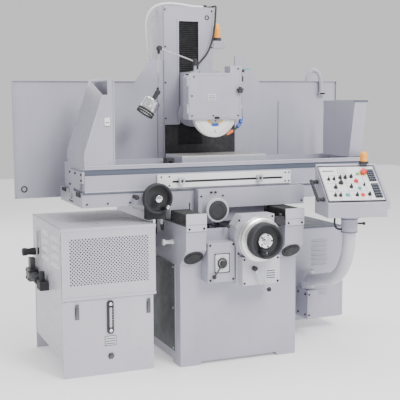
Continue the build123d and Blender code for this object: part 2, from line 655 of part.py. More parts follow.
def magnetic_chuck():
    half = CHUCK_W / 2
    body = block(CHUCK_X - CHUCK_L / 2, CHUCK_X + CHUCK_L / 2, CHUCK_Y - half, CHUCK_Y + half,
                 TABLE_TOP, CHUCK_TOP)
    body = chamfer(body.edges().group_by(Axis.Z)[-1], 1.5)
    ears = [block(x, x + 40, CHUCK_Y - 50, CHUCK_Y + 50, TABLE_TOP, TABLE_TOP + 22)
            for x in (CHUCK_X - CHUCK_L / 2 - 40, CHUCK_X + CHUCK_L / 2)]
    connector = block(-320, -274, -306, -250, TABLE_TOP, 1088)
    return [body, *ears, connector]


def table_guards():
    front, back, low = -397, -44, RIM_TOP
    outer = [(-800, low), (-640, low), (-640, 1512), (-668, 1512), (-800, 1130)]
    inner = [(-797, low), (-643, low), (-643, 1512), (-665.8, 1512), (-797, 1129.5)]
    left = plate_xz(outer, front, back) - plate_xz(inner, front + SHEET, back)
    slope = [(front - 1, 1425), (back + 1, 1508), (back + 1, 1520), (front - 1, 1520)]
    left -= plate_yz(slope, -790, -672)
    left += block(-797, -643, -60, -56, low, low + 24)
    high = 1392
    outer = [(-338, low), (front, high), (back, high), (back, low)]
    inner = [(-335, low), (front + SHEET, high), (back, high), (back, low)]
    right = plate_yz(outer, 803, 886) - plate_yz(inner, 803 + SHEET, 886 - SHEET)
    right += block(803, 818, front + SHEET, back, high - SHEET, high)
    return [left, right]


# ---- head ----
def head_slide():
    low, high = 1352, 1555
    slide = block(-98, 98, 228, 294, low, high)
    for side in (-1, 1):
        slide += block(*sorted((side * 98, side * 150)), 228, 267.5, low, high)
    slide += block(-25, 25, 294, 360, 1400, 1470)
    return [slide - bar_z(0, SCREW_Y, 1400, 1470, 15 + RUN)]


def spindle_housing():
    body = block(-NECK_X, NECK_X, -150, 228, 1330, HEAD_TOP)
    body += bar_y(0, -165, 150, SPINDLE_Z, 75)
    body -= bar_y(0, -120, 110, SPINDLE_Z, 58)
    body -= bar_y(0, -165, 150, SPINDLE_Z, 20 + RUN)
    body += block(-96, -NECK_X, -142, -98, 1530, HEAD_TOP)
    body += bar_z(-76, -120, HEAD_TOP, 1618, 8)
    stator = bar_y(0, -60, 60, SPINDLE_Z, 57.5) - bar_y(0, -60, 60, SPINDLE_Z, 47)
    gland = bar_z(26, 96, HEAD_TOP, 1576, 11)
    return [body, stator, gland]


def spindle_shaft():
    shaft = bar_y(0, -236, 140, SPINDLE_Z, 20) + bar_y(0, -60, 60, SPINDLE_Z, 46)
    adapter = bar_y(0, -192, -178, SPINDLE_Z, 50) + bar_y(0, -226, -192, SPINDLE_Z, 37.9)
    adapter -= bar_y(0, -226, -178, SPINDLE_Z, 20)
    cap = bar_y(0, -235, -226, SPINDLE_Z, 48) - bar_y(0, -235, -226, SPINDLE_Z, 20)
    return [shaft, adapter, cap]


def grinding_wheel():
    wheel = bar_y(0, WHEEL_Y0, WHEEL_Y1, SPINDLE_Z, WHEEL_R)
    return [wheel - bar_y(0, WHEEL_Y0, WHEEL_Y1, SPINDLE_Z, 38)]


def guard_outline(grow):
    """Guard outline with a raised corner, grown outwards on its sides and top."""
    return [(GUARD_X0 - grow, GUARD_LOW), (GUARD_X1 + grow, GUARD_LOW),
            (GUARD_X1 + grow, GUARD_HIGH + 40 + grow), (86 - grow, GUARD_HIGH + 40 + grow),
            (86 - grow, GUARD_HIGH + grow), (GUARD_X0 - grow, GUARD_HIGH + grow)]


def wheel_guard():
    shell = plate_xz(guard_outline(0), -238, -165)
    shell = fillet(shell.edges().filter_by(Axis.Y).sort_by_distance((GUARD_X0, -200, GUARD_HIGH))[0], 26)
    shell -= plate_xz(guard_outline(-4), -238, -169)
    shell -= block(GUARD_X0 + 4, GUARD_X1 - 4, -238, -169, GUARD_LOW, GUARD_LOW + 5)
    shell -= bar_y(0, -169, -165, SPINDLE_Z, 60)
    for z in (1330, 1480):
        for low in (z - 8, z + 31):
            shell += block(DOOR_X - 5, GUARD_X0, -248, -230, low, low + 7)
        shell += bar_z(DOOR_X, DOOR_Y, z - 8, z + 38, 3)
    return [shell]


def guard_door():
    door = plate_xz(guard_outline(2), -247, -239)
    door = fillet(door.edges().filter_by(Axis.Y).sort_by_distance((GUARD_X0, -243, GUARD_HIGH))[0], 26)
    for z in (1330, 1480):
        door += bar_z(DOOR_X, DOOR_Y, z + 0.5, z + 29.5, 5)
        door += block(DOOR_X, GUARD_X0, -247, -241, z + 0.5, z + 29.5)
        door -= block(DOOR_X - 9, GUARD_X0 + 1, -250, -236, z - 9, z + 0.4)
        door -= block(DOOR_X - 9, GUARD_X0 + 1, -250, -236, z + 29.6, z + 39)
        door -= bar_z(DOOR_X, DOOR_Y, z + 0.5, z + 29.5, 3 + RUN)
    return [door - bar_y(KNOB_X, -247, -239, KNOB_Z, 4 + RUN)]


def guard_door_knob():
    knob = bar_y(KNOB_X, -272, -252, KNOB_Z, 12) + bar_y(KNOB_X, -252, -237, KNOB_Z, 4)
    for i in range(5):
        turn = math.radians(72 * i)
        knob += bar_y(KNOB_X + 12 * math.sin(turn), -272, -254, KNOB_Z + 12 * math.cos(turn), 6)
    return [knob + bar_y(KNOB_X, -252, -247.5, KNOB_Z, 10)]


def coolant_nozzle():
    route = [(164, -212, 1500), (165, -213, 1420), (166, -215, 1340), (164, -224, 1292),
             (146, -238, 1258), (112, -245, 1232), (72, -247, 1210)]
    pipe = hose(route, 6)
    valve = block(153, 176, -224, -200, 1500, 1530) + bar_x(153, 215, -212, 1560, 7)
    valve += bar_z(164, -212, 1530, 1562, 9) + block(176, 222, -219, -205, 1566, 1573)
    clips = [block(GUARD_X1, 168, -226, -222, z, z + 14) + block(GUARD_X1, 156, -222, -202, z, z + 14)
             for z in (1352, 1452)]
    return [pipe, valve, *[clip - pipe for clip in clips]]


# ---- work lamp ----
def lamp_arm():
    hub = bar_z(-76, -120, 1590, 1626, 14) - bar_z(-76, -120, 1590, 1619, 8 + RUN)
    arm = hub + link((-88, -120, 1616), ELBOW, 3.5)
    arm += bar_y(ELBOW[0], -130, -116, ELBOW[2], 14)
    return [arm + bar_y(ELBOW[0], -116, -100, ELBOW[2], 4)]


def lamp_rod():
    x, _, z = ELBOW
    px, py, pz = LAMP_PIVOT
    rod = bar_y(x, -115.5, -101, z, 14) + link((x, py, z), (px, py, pz), 5)
    rod += bar_y(px, py - 6, py + 6, pz, 13)
    rod -= bar_y(x, -115.5, -99, z, 4 + RUN)
    return [rod - bar_y(px, py - 6, py + 6, pz, 4 + RUN)]


def lamp_head():
    px, py, pz = LAMP_PIVOT
    fork = bar_y(px, py - 12, py - 6.5, pz, 13) + bar_y(px, py + 6.5, py + 12, pz, 13)
    fork += bar_y(px, py - 12, py + 12, pz, 4)
    place = Pos(px, py, pz) * Rot(0, LAMP_TILT, 0)
    fork += place * block(-10, 10, -12, -6.5, -42, -6) + place * block(-10, 10, 6.5, 12, -42, -6)
    can = place * Pos(0, 0, -92) * Cylinder(50, 104) - place * Pos(0, 0, -110) * Cylinder(46, 90)
    lens = place * Pos(0, 0, -134) * Cylinder(45.9, 4)
    return [fork + can, lens]


NODES = (base_casting, base_covers, lifting_plugs, way_bellows, column_casting, column_cover,
         column_bellows, column_beacon, elevating_screw, speed_valve_box, speed_lever,
         crossfeed_gearbox, feed_lever, crossfeed_screw, crossfeed_dial, crossfeed_handwheel,
         crossfeed_grip, limit_switch, electrical_cabinet, cabinet_door, arm_bracket, support_arm,
         console_box, estop_button, start_button, mode_selector, console_fittings, tank_body,
         tank_cover, tank_fittings, pump_motor, conduits, head_cable, saddle_hoses, saddle_casting,
         hydraulic_cylinder, saddle_valves, reversing_lever, rear_splash_guard, splash_curtain,
         table_handwheel, table_casting, piston_rod, rod_brackets, dog_rail, left_trip_dog,
         right_trip_dog, magnetic_chuck, table_guards, head_slide, spindle_housing, spindle_shaft,
         grinding_wheel, wheel_guard, guard_door, guard_door_knob, coolant_nozzle, lamp_arm,
         lamp_rod, lamp_head)


def main():
    os.makedirs("parts", exist_ok=True)
    for maker in NODES:
        solids = []
        for piece in maker():
            solids.extend(piece.solids())
        export_step(Compound(label=maker.__name__, children=solids), f"parts/{maker.__name__}.step")


if __name__ == "__main__":
    main()
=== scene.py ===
"""Looks of a hydraulic surface grinder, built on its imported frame.

Metres, in the frame's own axes: X along the table, -Y towards the operator, +Z up.
"""
from __future__ import annotations

import json
import logging
import math
from dataclasses import dataclass, field
from enum import Enum
from typing import Iterable, Sequence

import bmesh
import bpy
from mathutils import Matrix, Vector

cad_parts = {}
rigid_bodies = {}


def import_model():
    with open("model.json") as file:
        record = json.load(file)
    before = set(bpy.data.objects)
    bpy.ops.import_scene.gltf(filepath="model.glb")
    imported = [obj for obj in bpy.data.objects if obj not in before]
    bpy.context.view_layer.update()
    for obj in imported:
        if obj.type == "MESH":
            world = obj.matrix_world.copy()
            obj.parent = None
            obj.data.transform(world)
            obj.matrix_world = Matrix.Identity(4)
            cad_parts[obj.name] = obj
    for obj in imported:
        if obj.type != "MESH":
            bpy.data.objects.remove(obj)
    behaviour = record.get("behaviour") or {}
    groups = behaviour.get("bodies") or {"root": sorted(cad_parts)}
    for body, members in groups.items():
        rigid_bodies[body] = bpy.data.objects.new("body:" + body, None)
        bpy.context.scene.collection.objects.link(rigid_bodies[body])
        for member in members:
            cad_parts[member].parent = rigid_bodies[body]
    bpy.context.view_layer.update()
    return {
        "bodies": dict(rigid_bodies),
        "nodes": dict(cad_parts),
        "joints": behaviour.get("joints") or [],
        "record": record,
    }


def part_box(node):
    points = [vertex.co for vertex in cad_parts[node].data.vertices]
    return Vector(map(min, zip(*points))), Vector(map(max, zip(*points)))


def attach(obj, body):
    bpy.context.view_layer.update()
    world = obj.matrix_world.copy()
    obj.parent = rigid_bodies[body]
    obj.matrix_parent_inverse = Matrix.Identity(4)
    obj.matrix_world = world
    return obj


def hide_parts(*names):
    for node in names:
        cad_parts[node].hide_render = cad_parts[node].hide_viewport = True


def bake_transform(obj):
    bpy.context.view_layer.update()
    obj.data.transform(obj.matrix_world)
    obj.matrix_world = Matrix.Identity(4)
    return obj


LOG = logging.getLogger("grinder")
Point = Sequence[float]
Outline = Sequence[tuple[float, float]]

ON_AXIS = 1e-6  # radius of a turned profile's point that lies on its axis
HOSE_SIDES = 20  # points round a hose
RIB_DEPTH = 0.14  # how far a conduit's grooves cut in, as a share of its radius
SMOOTH_ANGLE = math.radians(32)  # faces that meet at less than this shade as one
BEVEL_ANGLE = math.radians(40)  # edges sharper than this are rounded


class Along(Enum):
    """The row axis that a round or extruded shape follows."""

    X = (Vector((0, 1, 0)), Vector((0, 0, 1)), Vector((1, 0, 0)))
    Y = (Vector((1, 0, 0)), Vector((0, 0, 1)), Vector((0, 1, 0)))
    Z = (Vector((1, 0, 0)), Vector((0, 1, 0)), Vector((0, 0, 1)))

    def point(self, across: float, up: float, along: float) -> Vector:
        """The row point with these coordinates across, up and along the axis."""
        first, second, third = self.value
        return first * across + second * up + third * along


# ---------------------------------------------------------------- finishes


class NodeTree:
    """A material's node tree, with short ways to add to it."""

    def __init__(self, name: str) -> None:
        """Starts a material with its output and a principled shader.

        Args:
            name: the material's name.
        """
        self.material = bpy.data.materials.new(name)
        self.material.use_nodes = True
        self.tree = self.material.node_tree
        self.shader = self.tree.nodes["Principled BSDF"]
        self.place = self.node("ShaderNodeTexCoord").outputs["Object"]

    def node(self, kind: str, **values: object) -> bpy.types.Node:
        """Adds a node and sets its plain attributes.

        Args:
            kind: Blender's node type.
            values: attributes to set on it.

        Returns:
            The new node.
        """
        made = self.tree.nodes.new(kind)
        for key, value in values.items():
            setattr(made, key, value)
        return made

    def join(self, source: bpy.types.NodeSocket, target: bpy.types.NodeSocket) -> None:
        """Links one socket to another."""
        self.tree.links.new(source, target)

    def noise(self, scale: float, detail: float = 4.0, stretch: Point = (1, 1,
            1)) -> bpy.types.NodeSocket:
        """Noise over the object's own coordinates.

        Args:
            scale: spots per metre.
            detail: octaves.
            stretch: scale along each axis, for brushed or streaked marks.

        Returns:
            The noise factor.
        """
        mapping = self.node("ShaderNodeMapping")
        mapping.inputs["Scale"].default_value = stretch
        self.join(self.place, mapping.inputs["Vector"])
        cloud = self.node("ShaderNodeTexNoise")
        cloud.inputs["Scale"].default_value = scale
        cloud.inputs["Detail"].default_value = detail
        self.join(mapping.outputs["Vector"], cloud.inputs["Vector"])
        return cloud.outputs["Fac"]

    def ranged(self, source: bpy.types.NodeSocket, old: tuple[float, float],
            new: tuple[float, float]) -> bpy.types.NodeSocket:
        """Maps a value from one range to another, clamped.

        Args:
            source: the value.
            old: its range.
            new: the range that it is mapped to.

        Returns:
            The mapped value.
        """
        mapped = self.node("ShaderNodeMapRange")
        names = ("From Min", "From Max", "To Min", "To Max")
        for name, value in zip(names, (*old, *new)):
            mapped.inputs[name].default_value = value
        self.join(source, mapped.inputs["Value"])
        return mapped.outputs["Result"]

    def mixed(self, share: bpy.types.NodeSocket, low: object, high: object) -> bpy.types.NodeSocket:
        """Mixes two colours, each a colour or a socket.

        Args:
            share: how much of the second colour.
            low: colour or socket at 0.
            high: colour or socket at 1.

        Returns:
            The mixed colour.
        """
        mix = self.node("ShaderNodeMix", data_type="RGBA")
        self.join(share, mix.inputs[0])
        for index, value in ((6, low), (7, high)):
            if isinstance(value, bpy.types.NodeSocket):
                self.join(value, mix.inputs[index])
            else:
                mix.inputs[index].default_value = (*value, 1)
        return mix.outputs[2]

    def worn_edges(self, radius: float) -> tuple[bpy.types.NodeSocket, bpy.types.NodeSocket]:
        """Finds edges by comparing the rounded normal with the true one.

        Args:
            radius: width of the rounded edge in metres.

        Returns:
            The edge mask and the rounded normal.
        """
        bevel = self.node("ShaderNodeBevel", samples=4)
        bevel.inputs["Radius"].default_value = radius
        geometry = self.node("ShaderNodeNewGeometry")
        dot = self.node("ShaderNodeVectorMath", operation="DOT_PRODUCT")
        self.join(bevel.outputs["Normal"], dot.inputs[0])
        self.join(geometry.outputs["Normal"], dot.inputs[1])
        return self.ranged(dot.outputs["Value"], (0.97, 0.8), (0.0, 1.0)), bevel.outputs["Normal"]

    def bump(self, height: bpy.types.NodeSocket, depth: float,
            normal: bpy.types.NodeSocket | None = None) -> None:
        """Bumps the shader's surface by a height, in metres.

        Args:
            height: the height.
            depth: how far a height of 1 stands out, in metres.
            normal: the rounded normal to start from, or None.
        """
        bump = self.node("ShaderNodeBump")
        bump.inputs["Distance"].default_value = depth
        self.join(height, bump.inputs["Height"])
        if normal is not None:
            self.join(normal, bump.inputs["Normal"])
        self.join(bump.outputs["Normal"], self.shader.inputs["Normal"])

    def set(self, **values: float) -> None:
        """Sets constants on the shader's own sockets, with underscores for spaces."""
        for key, value in values.items():
            self.shader.inputs[key.replace("_", " ")].default_value = value


def scaled(colour: Point, share: float) -> tuple[float, ...]:
    """A colour made lighter or darker."""
    return tuple(min(1.0, channel * share) for channel in colour)


@dataclass(frozen=True)
class Enamel:
    """Sprayed machine enamel: faint orange peel, oily dust and rubbed edges."""

    name: str
    colour: Point
    rough: float = 0.36
    peel: float = 0.00012
    rubbed: float = 0.5
    slot: str = "machine_paint"

    def material(self) -> bpy.types.Material:
        """Builds the enamel.

        Returns:
            The material.
        """
        tree = NodeTree(self.name)
        cloud = tree.ranged(tree.noise(3.1, 6), (0.3, 0.7), (0, 1))
        paint = tree.mixed(cloud, scaled(self.colour, 0.93), scaled(self.colour, 1.04))
        streak = tree.ranged(tree.noise(14, 5, (1, 1, 0.16)), (0.56, 0.78), (0, 0.3))
        dusty = tree.mixed(streak, paint, scaled(self.colour, 0.76))
        edge, rounded = tree.worn_edges(0.0022)
        chipped = tree.node("ShaderNodeMath", operation="MULTIPLY")
        tree.join(edge, chipped.inputs[0])
        tree.join(tree.ranged(tree.noise(60, 4), (0.45, 0.62), (0, self.rubbed)), chipped.inputs[1])
        colour = tree.mixed(chipped.outputs[0], dusty, scaled(self.colour, 1.25))
        tree.join(colour, tree.shader.inputs["Base Color"])
        rough = tree.ranged(tree.noise(22, 5), (0.3, 0.7), (self.rough - 0.07, self.rough + 0.1))
        tree.join(rough, tree.shader.inputs["Roughness"])
        tree.bump(tree.noise(700, 2), self.peel, rounded)
        tree.set(Coat_Weight=0.18, Coat_Roughness=0.3)
        return tree.material


@dataclass(frozen=True)
class Metal:
    """Bare metal with the marks of its last tool."""

    name: str
    colour: Point
    rough: float = 0.24
    lay: Point = (1, 1, 1)
    marks: float = 0.00004
    stain: float = 0.25
    slot: str = "ground_steel"

    def material(self) -> bpy.types.Material:
        """Builds the metal.

        Returns:
            The material.
        """
        tree = NodeTree(self.name)
        cloud = tree.ranged(tree.noise(9, 6), (0.35, 0.7), (0, 1))
        colour = tree.mixed(cloud, scaled(self.colour, 1 - self.stain), self.colour)
        tree.join(colour, tree.shader.inputs["Base Color"])
        lines = tree.noise(420, 3, self.lay)
        tree.join(tree.ranged(lines, (0.3, 0.7), (self.rough * 0.7, self.rough * 1.4)),
            tree.shader.inputs["Roughness"])
        _, rounded = tree.worn_edges(0.0009)
        tree.bump(lines, self.marks, rounded)
        tree.set(Metallic=1.0)
        return tree.material


@dataclass(frozen=True)
class Moulded:
    """Moulded plastic or rubber with a fine grain and a dusty bloom."""

    name: str
    colour: Point
    rough: float = 0.45
    grain: float = 0.00012
    bloom: float = 0.12
    clear: float = 0.0
    glow: float = 0.0
    slot: str = "black_plastic"

    def material(self) -> bpy.types.Material:
        """Builds the plastic or rubber.

        Returns:
            The material.
        """
        tree = NodeTree(self.name)
        dust = tree.ranged(tree.noise(26, 6), (0.45, 0.75), (0, self.bloom))
        colour = tree.mixed(dust, self.colour, scaled([value + 0.12 for value in self.colour], 0.85))
        tree.join(colour, tree.shader.inputs["Base Color"])
        tree.join(tree.ranged(tree.noise(40, 5), (0.3, 0.7), (self.rough - 0.08, self.rough + 0.1)),
            tree.shader.inputs["Roughness"])
        _, rounded = tree.worn_edges(0.0008)
        tree.bump(tree.noise(1400, 2), self.grain, rounded)
        tree.set(Transmission_Weight=self.clear, Emission_Strength=self.glow)
        if self.glow:
            tree.shader.inputs["Emission Color"].default_value = (*self.colour, 1)
        return tree.material


@dataclass(frozen=True)
class Abrasive:
    """Bonded white abrasive: open grain with loaded grey patches."""

    name: str
    colour: Point
    slot: str = "abrasive"

    def material(self) -> bpy.types.Material:
        """Builds the abrasive.

        Returns:
            The material.
        """
        tree = NodeTree(self.name)
        grains = tree.node("ShaderNodeTexVoronoi")
        grains.inputs["Scale"].default_value = 1300
        tree.join(tree.place, grains.inputs["Vector"])
        speck = tree.ranged(grains.outputs["Distance"], (0.1, 0.7), (0, 1))
        colour = tree.mixed(speck, scaled(self.colour, 0.8), self.colour)
        loaded = tree.ranged(tree.noise(30, 6), (0.55, 0.8), (0, 0.35))
        tree.join(tree.mixed(loaded, colour, scaled(self.colour, 0.6)), tree.shader.inputs["Base Color"])
        tree.bump(grains.outputs["Distance"], 0.0006)
        tree.set(Roughness=0.92)
        return tree.material


class Finish(Enum):
    """Every finish on the machine."""

    ENAMEL = Enamel("machine_enamel", (0.4, 0.39, 0.465))
    # Lighter enamel; also painted highlights on the table's rim folds and the left guard's edges.
    LIGHT = Enamel("light_enamel_and_painted_highlight", (0.52, 0.51, 0.57), 0.32)
    # Blue-grey enamel for dark trim and print; also painted shade in the table's recess, under the table
    # and under the right guard's lip.
    SHADE = Enamel("blue_grey_enamel_and_painted_shade", (0.085, 0.1, 0.14), 0.4)
    SIDE = Enamel("grey_green_enamel", (0.035, 0.05, 0.047), 0.42)
    WHITE = Enamel("white_enamel", (0.84, 0.84, 0.86), 0.34, slot="white_paint")
    PLATE = Enamel("blank_plate", (0.62, 0.63, 0.64), 0.3, slot="dial_silver")
    PANEL = Enamel("panel_face", (0.82, 0.815, 0.83), 0.4, rubbed=0.1, slot="white_paint")
    SCREEN = Moulded("display_block", (0.012, 0.012, 0.016), 0.18, 0.00002)
    STEEL = Metal("ground_steel", (0.56, 0.56, 0.57), 0.26, (1, 14, 1))
    TURNED = Metal("turned_steel", (0.66, 0.66, 0.67), 0.2, (1, 1, 12))
    SILVER = Metal("satin_dial", (0.8, 0.8, 0.81), 0.33, (1, 1, 1), 0.00002, 0.1, slot="dial_silver")
    CHROME = Metal("chrome_plate", (0.8, 0.8, 0.82), 0.08, (1, 1, 1), 0.000006, 0.08, slot="chrome")
    IRON = Metal("scraped_iron", (0.19, 0.19, 0.2), 0.45, (1, 1, 1), 0.0002, 0.4)
    BRASS = Metal("brass", (0.62, 0.42, 0.16), 0.25)
    SCREW = Metal("black_screw", (0.06, 0.06, 0.065), 0.38, slot="black_plastic")
    # Dark ink for print; also painted shade in the tank grille, the dog rail's slot and the cabinet's
    # louver openings.
    INK = Moulded("dial_ink_and_painted_shade", (0.015, 0.015, 0.018), 0.5)
    BLACK = Moulded("black_plastic", (0.014, 0.014, 0.017), 0.36)
    RUBBER = Moulded("black_rubber", (0.017, 0.017, 0.019), 0.62, 0.0004, 0.2, slot="rubber")
    HOSE = Moulded("grey_conduit", (0.5, 0.5, 0.54), 0.5, 0.0002, slot="conduit")
    RED = Moulded("red_plastic", (0.6, 0.025, 0.03), 0.28, 0.00002, 0.05, slot="red_plastic")
    GREEN = Moulded("green_plastic", (0.02, 0.36, 0.2), 0.28, 0.00002, 0.05, slot="green_plastic")
    TEAL = Moulded("teal_plastic", (0.08, 0.36, 0.36), 0.3, 0.00002, 0.05, slot="green_plastic")
    ORANGE = Moulded("orange_plastic", (0.8, 0.16, 0.03), 0.35, 0.00004, 0.05, slot="nozzle_plastic")
    BLUE = Moulded("blue_plastic", (0.03, 0.1, 0.45), 0.35, 0.00004, 0.05, slot="nozzle_plastic")
    YELLOW = Moulded("yellow_blotter", (0.78, 0.5, 0.04), 0.7, 0.0001, 0.1, slot="white_paint")
    AMBER = Moulded("amber_lens", (0.8, 0.135, 0.008), 0.16, 0.00001, 0.03, 0.25, 0.08, slot="amber_lens")
    GLASS = Moulded("gauge_glass", (0.66, 0.68, 0.68), 0.06, 0.000005, 0.02, 0.2, slot="chrome")
    BULB = Moulded("lamp_lens", (0.85, 0.85, 0.82), 0.25, 0.0002, 0.05, 0.3, 0.15, slot="white_paint")
    STONE = Abrasive("white_abrasive", (0.82, 0.82, 0.8))

    @property
    def material(self) -> bpy.types.Material:
        """The finish's material, made once."""
        name = self.value.name
        return bpy.data.materials.get(name) or self.value.material()


# ---------------------------------------------------------------- mesh making


class Shape:
    """One mesh, grown from simple solids in the row frame."""

    def __init__(self) -> None:
        """Starts an empty mesh."""
        self.bm = bmesh.new()

    def loft(self, rings: Sequence[Sequence[Point]], closed_ends: bool = True,
            round_again: bool = False) -> Shape:
        """Joins rings of equal length into a skin.

        Args:
            rings: the rings, in order.
            closed_ends: caps the first and last ring.
            round_again: joins the last ring to the first instead.

        Returns:
            This shape.
        """
        rows = [[self.bm.verts.new(point) for point in ring] for ring in rings]
        pairs = list(zip(rows, rows[1:]))
        if round_again:
            pairs.append((rows[-1], rows[0]))
        for low, high in pairs:
            count = len(low)
            for i in range(count):
                self.bm.faces.new((low[i], low[(i + 1) % count], high[(i + 1) % count], high[i]))
        if closed_ends and not round_again:
            self.bm.faces.new(list(reversed(rows[0])))
            self.bm.faces.new(rows[-1])
        return self

    def prism(self, outline: Outline, along: Along, start: float, end: float) -> Shape:
        """Extrudes an outline, given across and up, from start to end."""
        rings = [[along.point(across, up, place) for across, up in outline] for place in (start, end)]
        return self.loft(rings)

    def box(self, low: Point, high: Point) -> Shape:
        """Adds a box between two corners."""
        outline = [(low[0], low[1]), (high[0], low[1]), (high[0], high[1]), (low[0], high[1])]
        return self.prism(outline, Along.Z, low[2], high[2])

    def lathe(self, profile: Outline, centre: Point, along: Along, steps: int = 64) -> Shape:
        """Turns a closed profile about an axis.

        Args:
            profile: points of (distance along the axis, radius), in order round the section.
            centre: a point on the axis, where the distance is 0.
            along: the axis.
            steps: segments in a turn.

        Returns:
            This shape.
        """
        middle = Vector(centre)
        rings = []
        for along_axis, radius in profile:
            turn = [(math.cos(math.tau * i / steps), math.sin(math.tau * i / steps))
                for i in range(steps)]
            rings.append([middle + along.point(radius * c, radius * s, along_axis) for c, s in turn])
        open_core = min(radius for _, radius in profile) > ON_AXIS and profile[0] == profile[-1]
        if open_core:
            return self.loft(rings[:-1], round_again=True)
        return self.loft(rings)

    def tube(self, span: tuple[float, float], radii: tuple[float, float], centre: Point, along: Along,
            steps: int = 64) -> "Shape":
        """Adds a plain ring.

        Args:
            span: its two faces, as distances along the axis.
            radii: its inner and outer radius.
            centre: a point on the axis, where the distance is 0.
            along: the axis.
            steps: segments in a turn.

        Returns:
            This shape.
        """
        (start, end), (inner, outer) = span, radii
        section = [(start, inner), (start, outer), (end, outer), (end, inner), (start, inner)]
        return self.lathe(section, centre, along, steps)

    def rod(self, start: Point, end: Point, radius: float, tip: float | None = None,
            steps: int = 24) -> Shape:
        """Adds a round bar between two points, tapering to a tip radius if given.

        Args:
            start: centre of one end.
            end: centre of the other.
            radius: radius at the start.
            tip: radius at the end, or None for the same.
            steps: points round the bar.

        Returns:
            This shape.
        """
        a, b = Vector(start), Vector(end)
        turn = (b - a).to_track_quat("Z", "Y").to_matrix()
        rings = []
        for middle, size in ((a, radius), (b, radius if tip is None else tip)):
            rings.append([middle + turn @ Vector((size * math.cos(math.tau * i / steps),
                size * math.sin(math.tau * i / steps), 0)) for i in range(steps)])
        return self.loft(rings)

    def ball(self, centre: Point, radius: float, squash: float = 1.0) -> Shape:
        """Adds a ball, flattened along Z by squash.

        Args:
            centre: its centre.
            radius: its radius.
            squash: height as a share of its width.

        Returns:
            This shape.
        """
        place = Matrix.Translation(centre) @ Matrix.Diagonal((1, 1, squash, 1))
        bmesh.ops.create_uvsphere(self.bm, u_segments=32, v_segments=18, radius=radius, matrix=place)
        return self

    def screw(self, place: Point, along: Along, radius: float, height: float) -> Shape:
        """Adds a socket-head screw whose head stands out from place; a negative height faces back.

        Args:
            place: where the head meets the sheet.
            along: the screw's axis.
            radius: radius of the head.
            height: height of the head.

        Returns:
            This shape.
        """
        half = radius * 0.52
        profile = [(0, ON_AXIS), (0, radius), (height * 0.86, radius), (height, radius * 0.86),
            (height, half), (height * 0.45, half), (height * 0.45, ON_AXIS)]
        return self.lathe(profile, place, along, 18)

    def ribs(self, count: int, low: Point, high: Point, step: Point) -> Shape:
        """Repeats a box a number of times by a step.

        Args:
            count: how many.
            low: the first box's low corner.
            high: its high corner.
            step: move from one box to the next.

        Returns:
            This shape.
        """
        for i in range(count):
            self.box([value + i * move for value, move in zip(low, step)],
                [value + i * move for value, move in zip(high, step)])
        return self

    def merged(self, other: Shape) -> Shape:
        """Takes in another shape, which is used up.

        Args:
            other: the shape to take in.

        Returns:
            This shape.
        """
        mesh = bpy.data.meshes.new("merged_part")
        other.bm.to_mesh(mesh)
        other.bm.free()
        self.bm.from_mesh(mesh)
        bpy.data.meshes.remove(mesh)
        return self

    def placed(self, matrix: Matrix) -> Shape:
        """Moves everything so far by a matrix."""
        bmesh.ops.transform(self.bm, matrix=matrix, verts=self.bm.verts)
        return self

    def made(self, name: str, finish: Finish, body: str | None, edge: float = 0.0008,
            slot: str | None = None, stands_for: Sequence[str] = ()) -> bpy.types.Object:
        """Turns the mesh into a finished piece.

        Args:
            name: the piece's name.
            finish: its finish.
            body: the body that it rides on, or None to leave that for later.
            edge: width of the rounded edges.
            slot: not used.
            stands_for: frame nodes that the piece replaces.

        Returns:
            The piece.
        """
        bmesh.ops.recalc_face_normals(self.bm, faces=self.bm.faces)
        mesh = bpy.data.meshes.new(name)
        self.bm.to_mesh(mesh)
        self.bm.free()
        for polygon in mesh.polygons:
            polygon.use_smooth = True
        mesh.set_sharp_from_angle(angle=SMOOTH_ANGLE)
        piece = bpy.data.objects.new(name, mesh)
        bpy.context.scene.collection.objects.link(piece)
        if edge:
            bevel = piece.modifiers.new("rounded_edges", "BEVEL")
            bevel.width = edge
            bevel.segments = 2
            bevel.limit_method = "ANGLE"
            bevel.angle_limit = BEVEL_ANGLE
            bevel.harden_normals = True
        mesh.materials.append(finish.material)
        if body is not None:
            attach(piece, body)
        if stands_for:
            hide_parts(*stands_for)
        LOG.info("%s on %s", name, body)
        return piece


def hose_line(name: str, route: Sequence[Point], radius: float, finish: Finish, body: str | None,
        ribbed: bool = False) -> bpy.types.Object:
    """A free hose or cable, on one smooth curve between two fittings.

    Args:
        name: the piece's name.
        route: control points, in metres.
        radius: outer radius.
        finish: its finish.
        body: the body that it rides on, or None to leave it on no body.
        ribbed: adds the rings of a corrugated conduit.

    Returns:
        The hose, a mesh tube.
    """
    curve = bpy.data.curves.new(name + "_line", "CURVE")
    curve.dimensions = "3D"
    curve.resolution_u = 12
    spline = curve.splines.new("NURBS")
    spline.points.add(len(route) - 1)
    for point, place in zip(spline.points, route):
        point.co = (*place, 1)
    spline.order_u = 3
    spline.use_endpoint_u = True
    holder = bpy.data.objects.new(name + "_line", curve)
    line = bpy.data.meshes.new_from_object(holder)
    path = [vertex.co.copy() for vertex in line.vertices]
    bpy.data.objects.remove(holder)
    bpy.data.meshes.remove(line)
    rings = []
    normal = (path[1] - path[0]).orthogonal().normalized()
    for i, place in enumerate(path):
        ahead = (path[min(i + 1, len(path) - 1)] - path[max(i - 1, 0)]).normalized()
        normal = (normal - ahead * normal.dot(ahead)).normalized()
        side = ahead.cross(normal)
        size = radius * (1 - RIB_DEPTH * ((i + 1) % 2)) if ribbed else radius
        turn = [math.tau * k / HOSE_SIDES for k in range(HOSE_SIDES)]
        rings.append([place + (normal * math.cos(angle) + side * math.sin(angle)) * size
            for angle in turn])
    piece = Shape().loft(rings).made(name, finish, body, 0)
    return piece


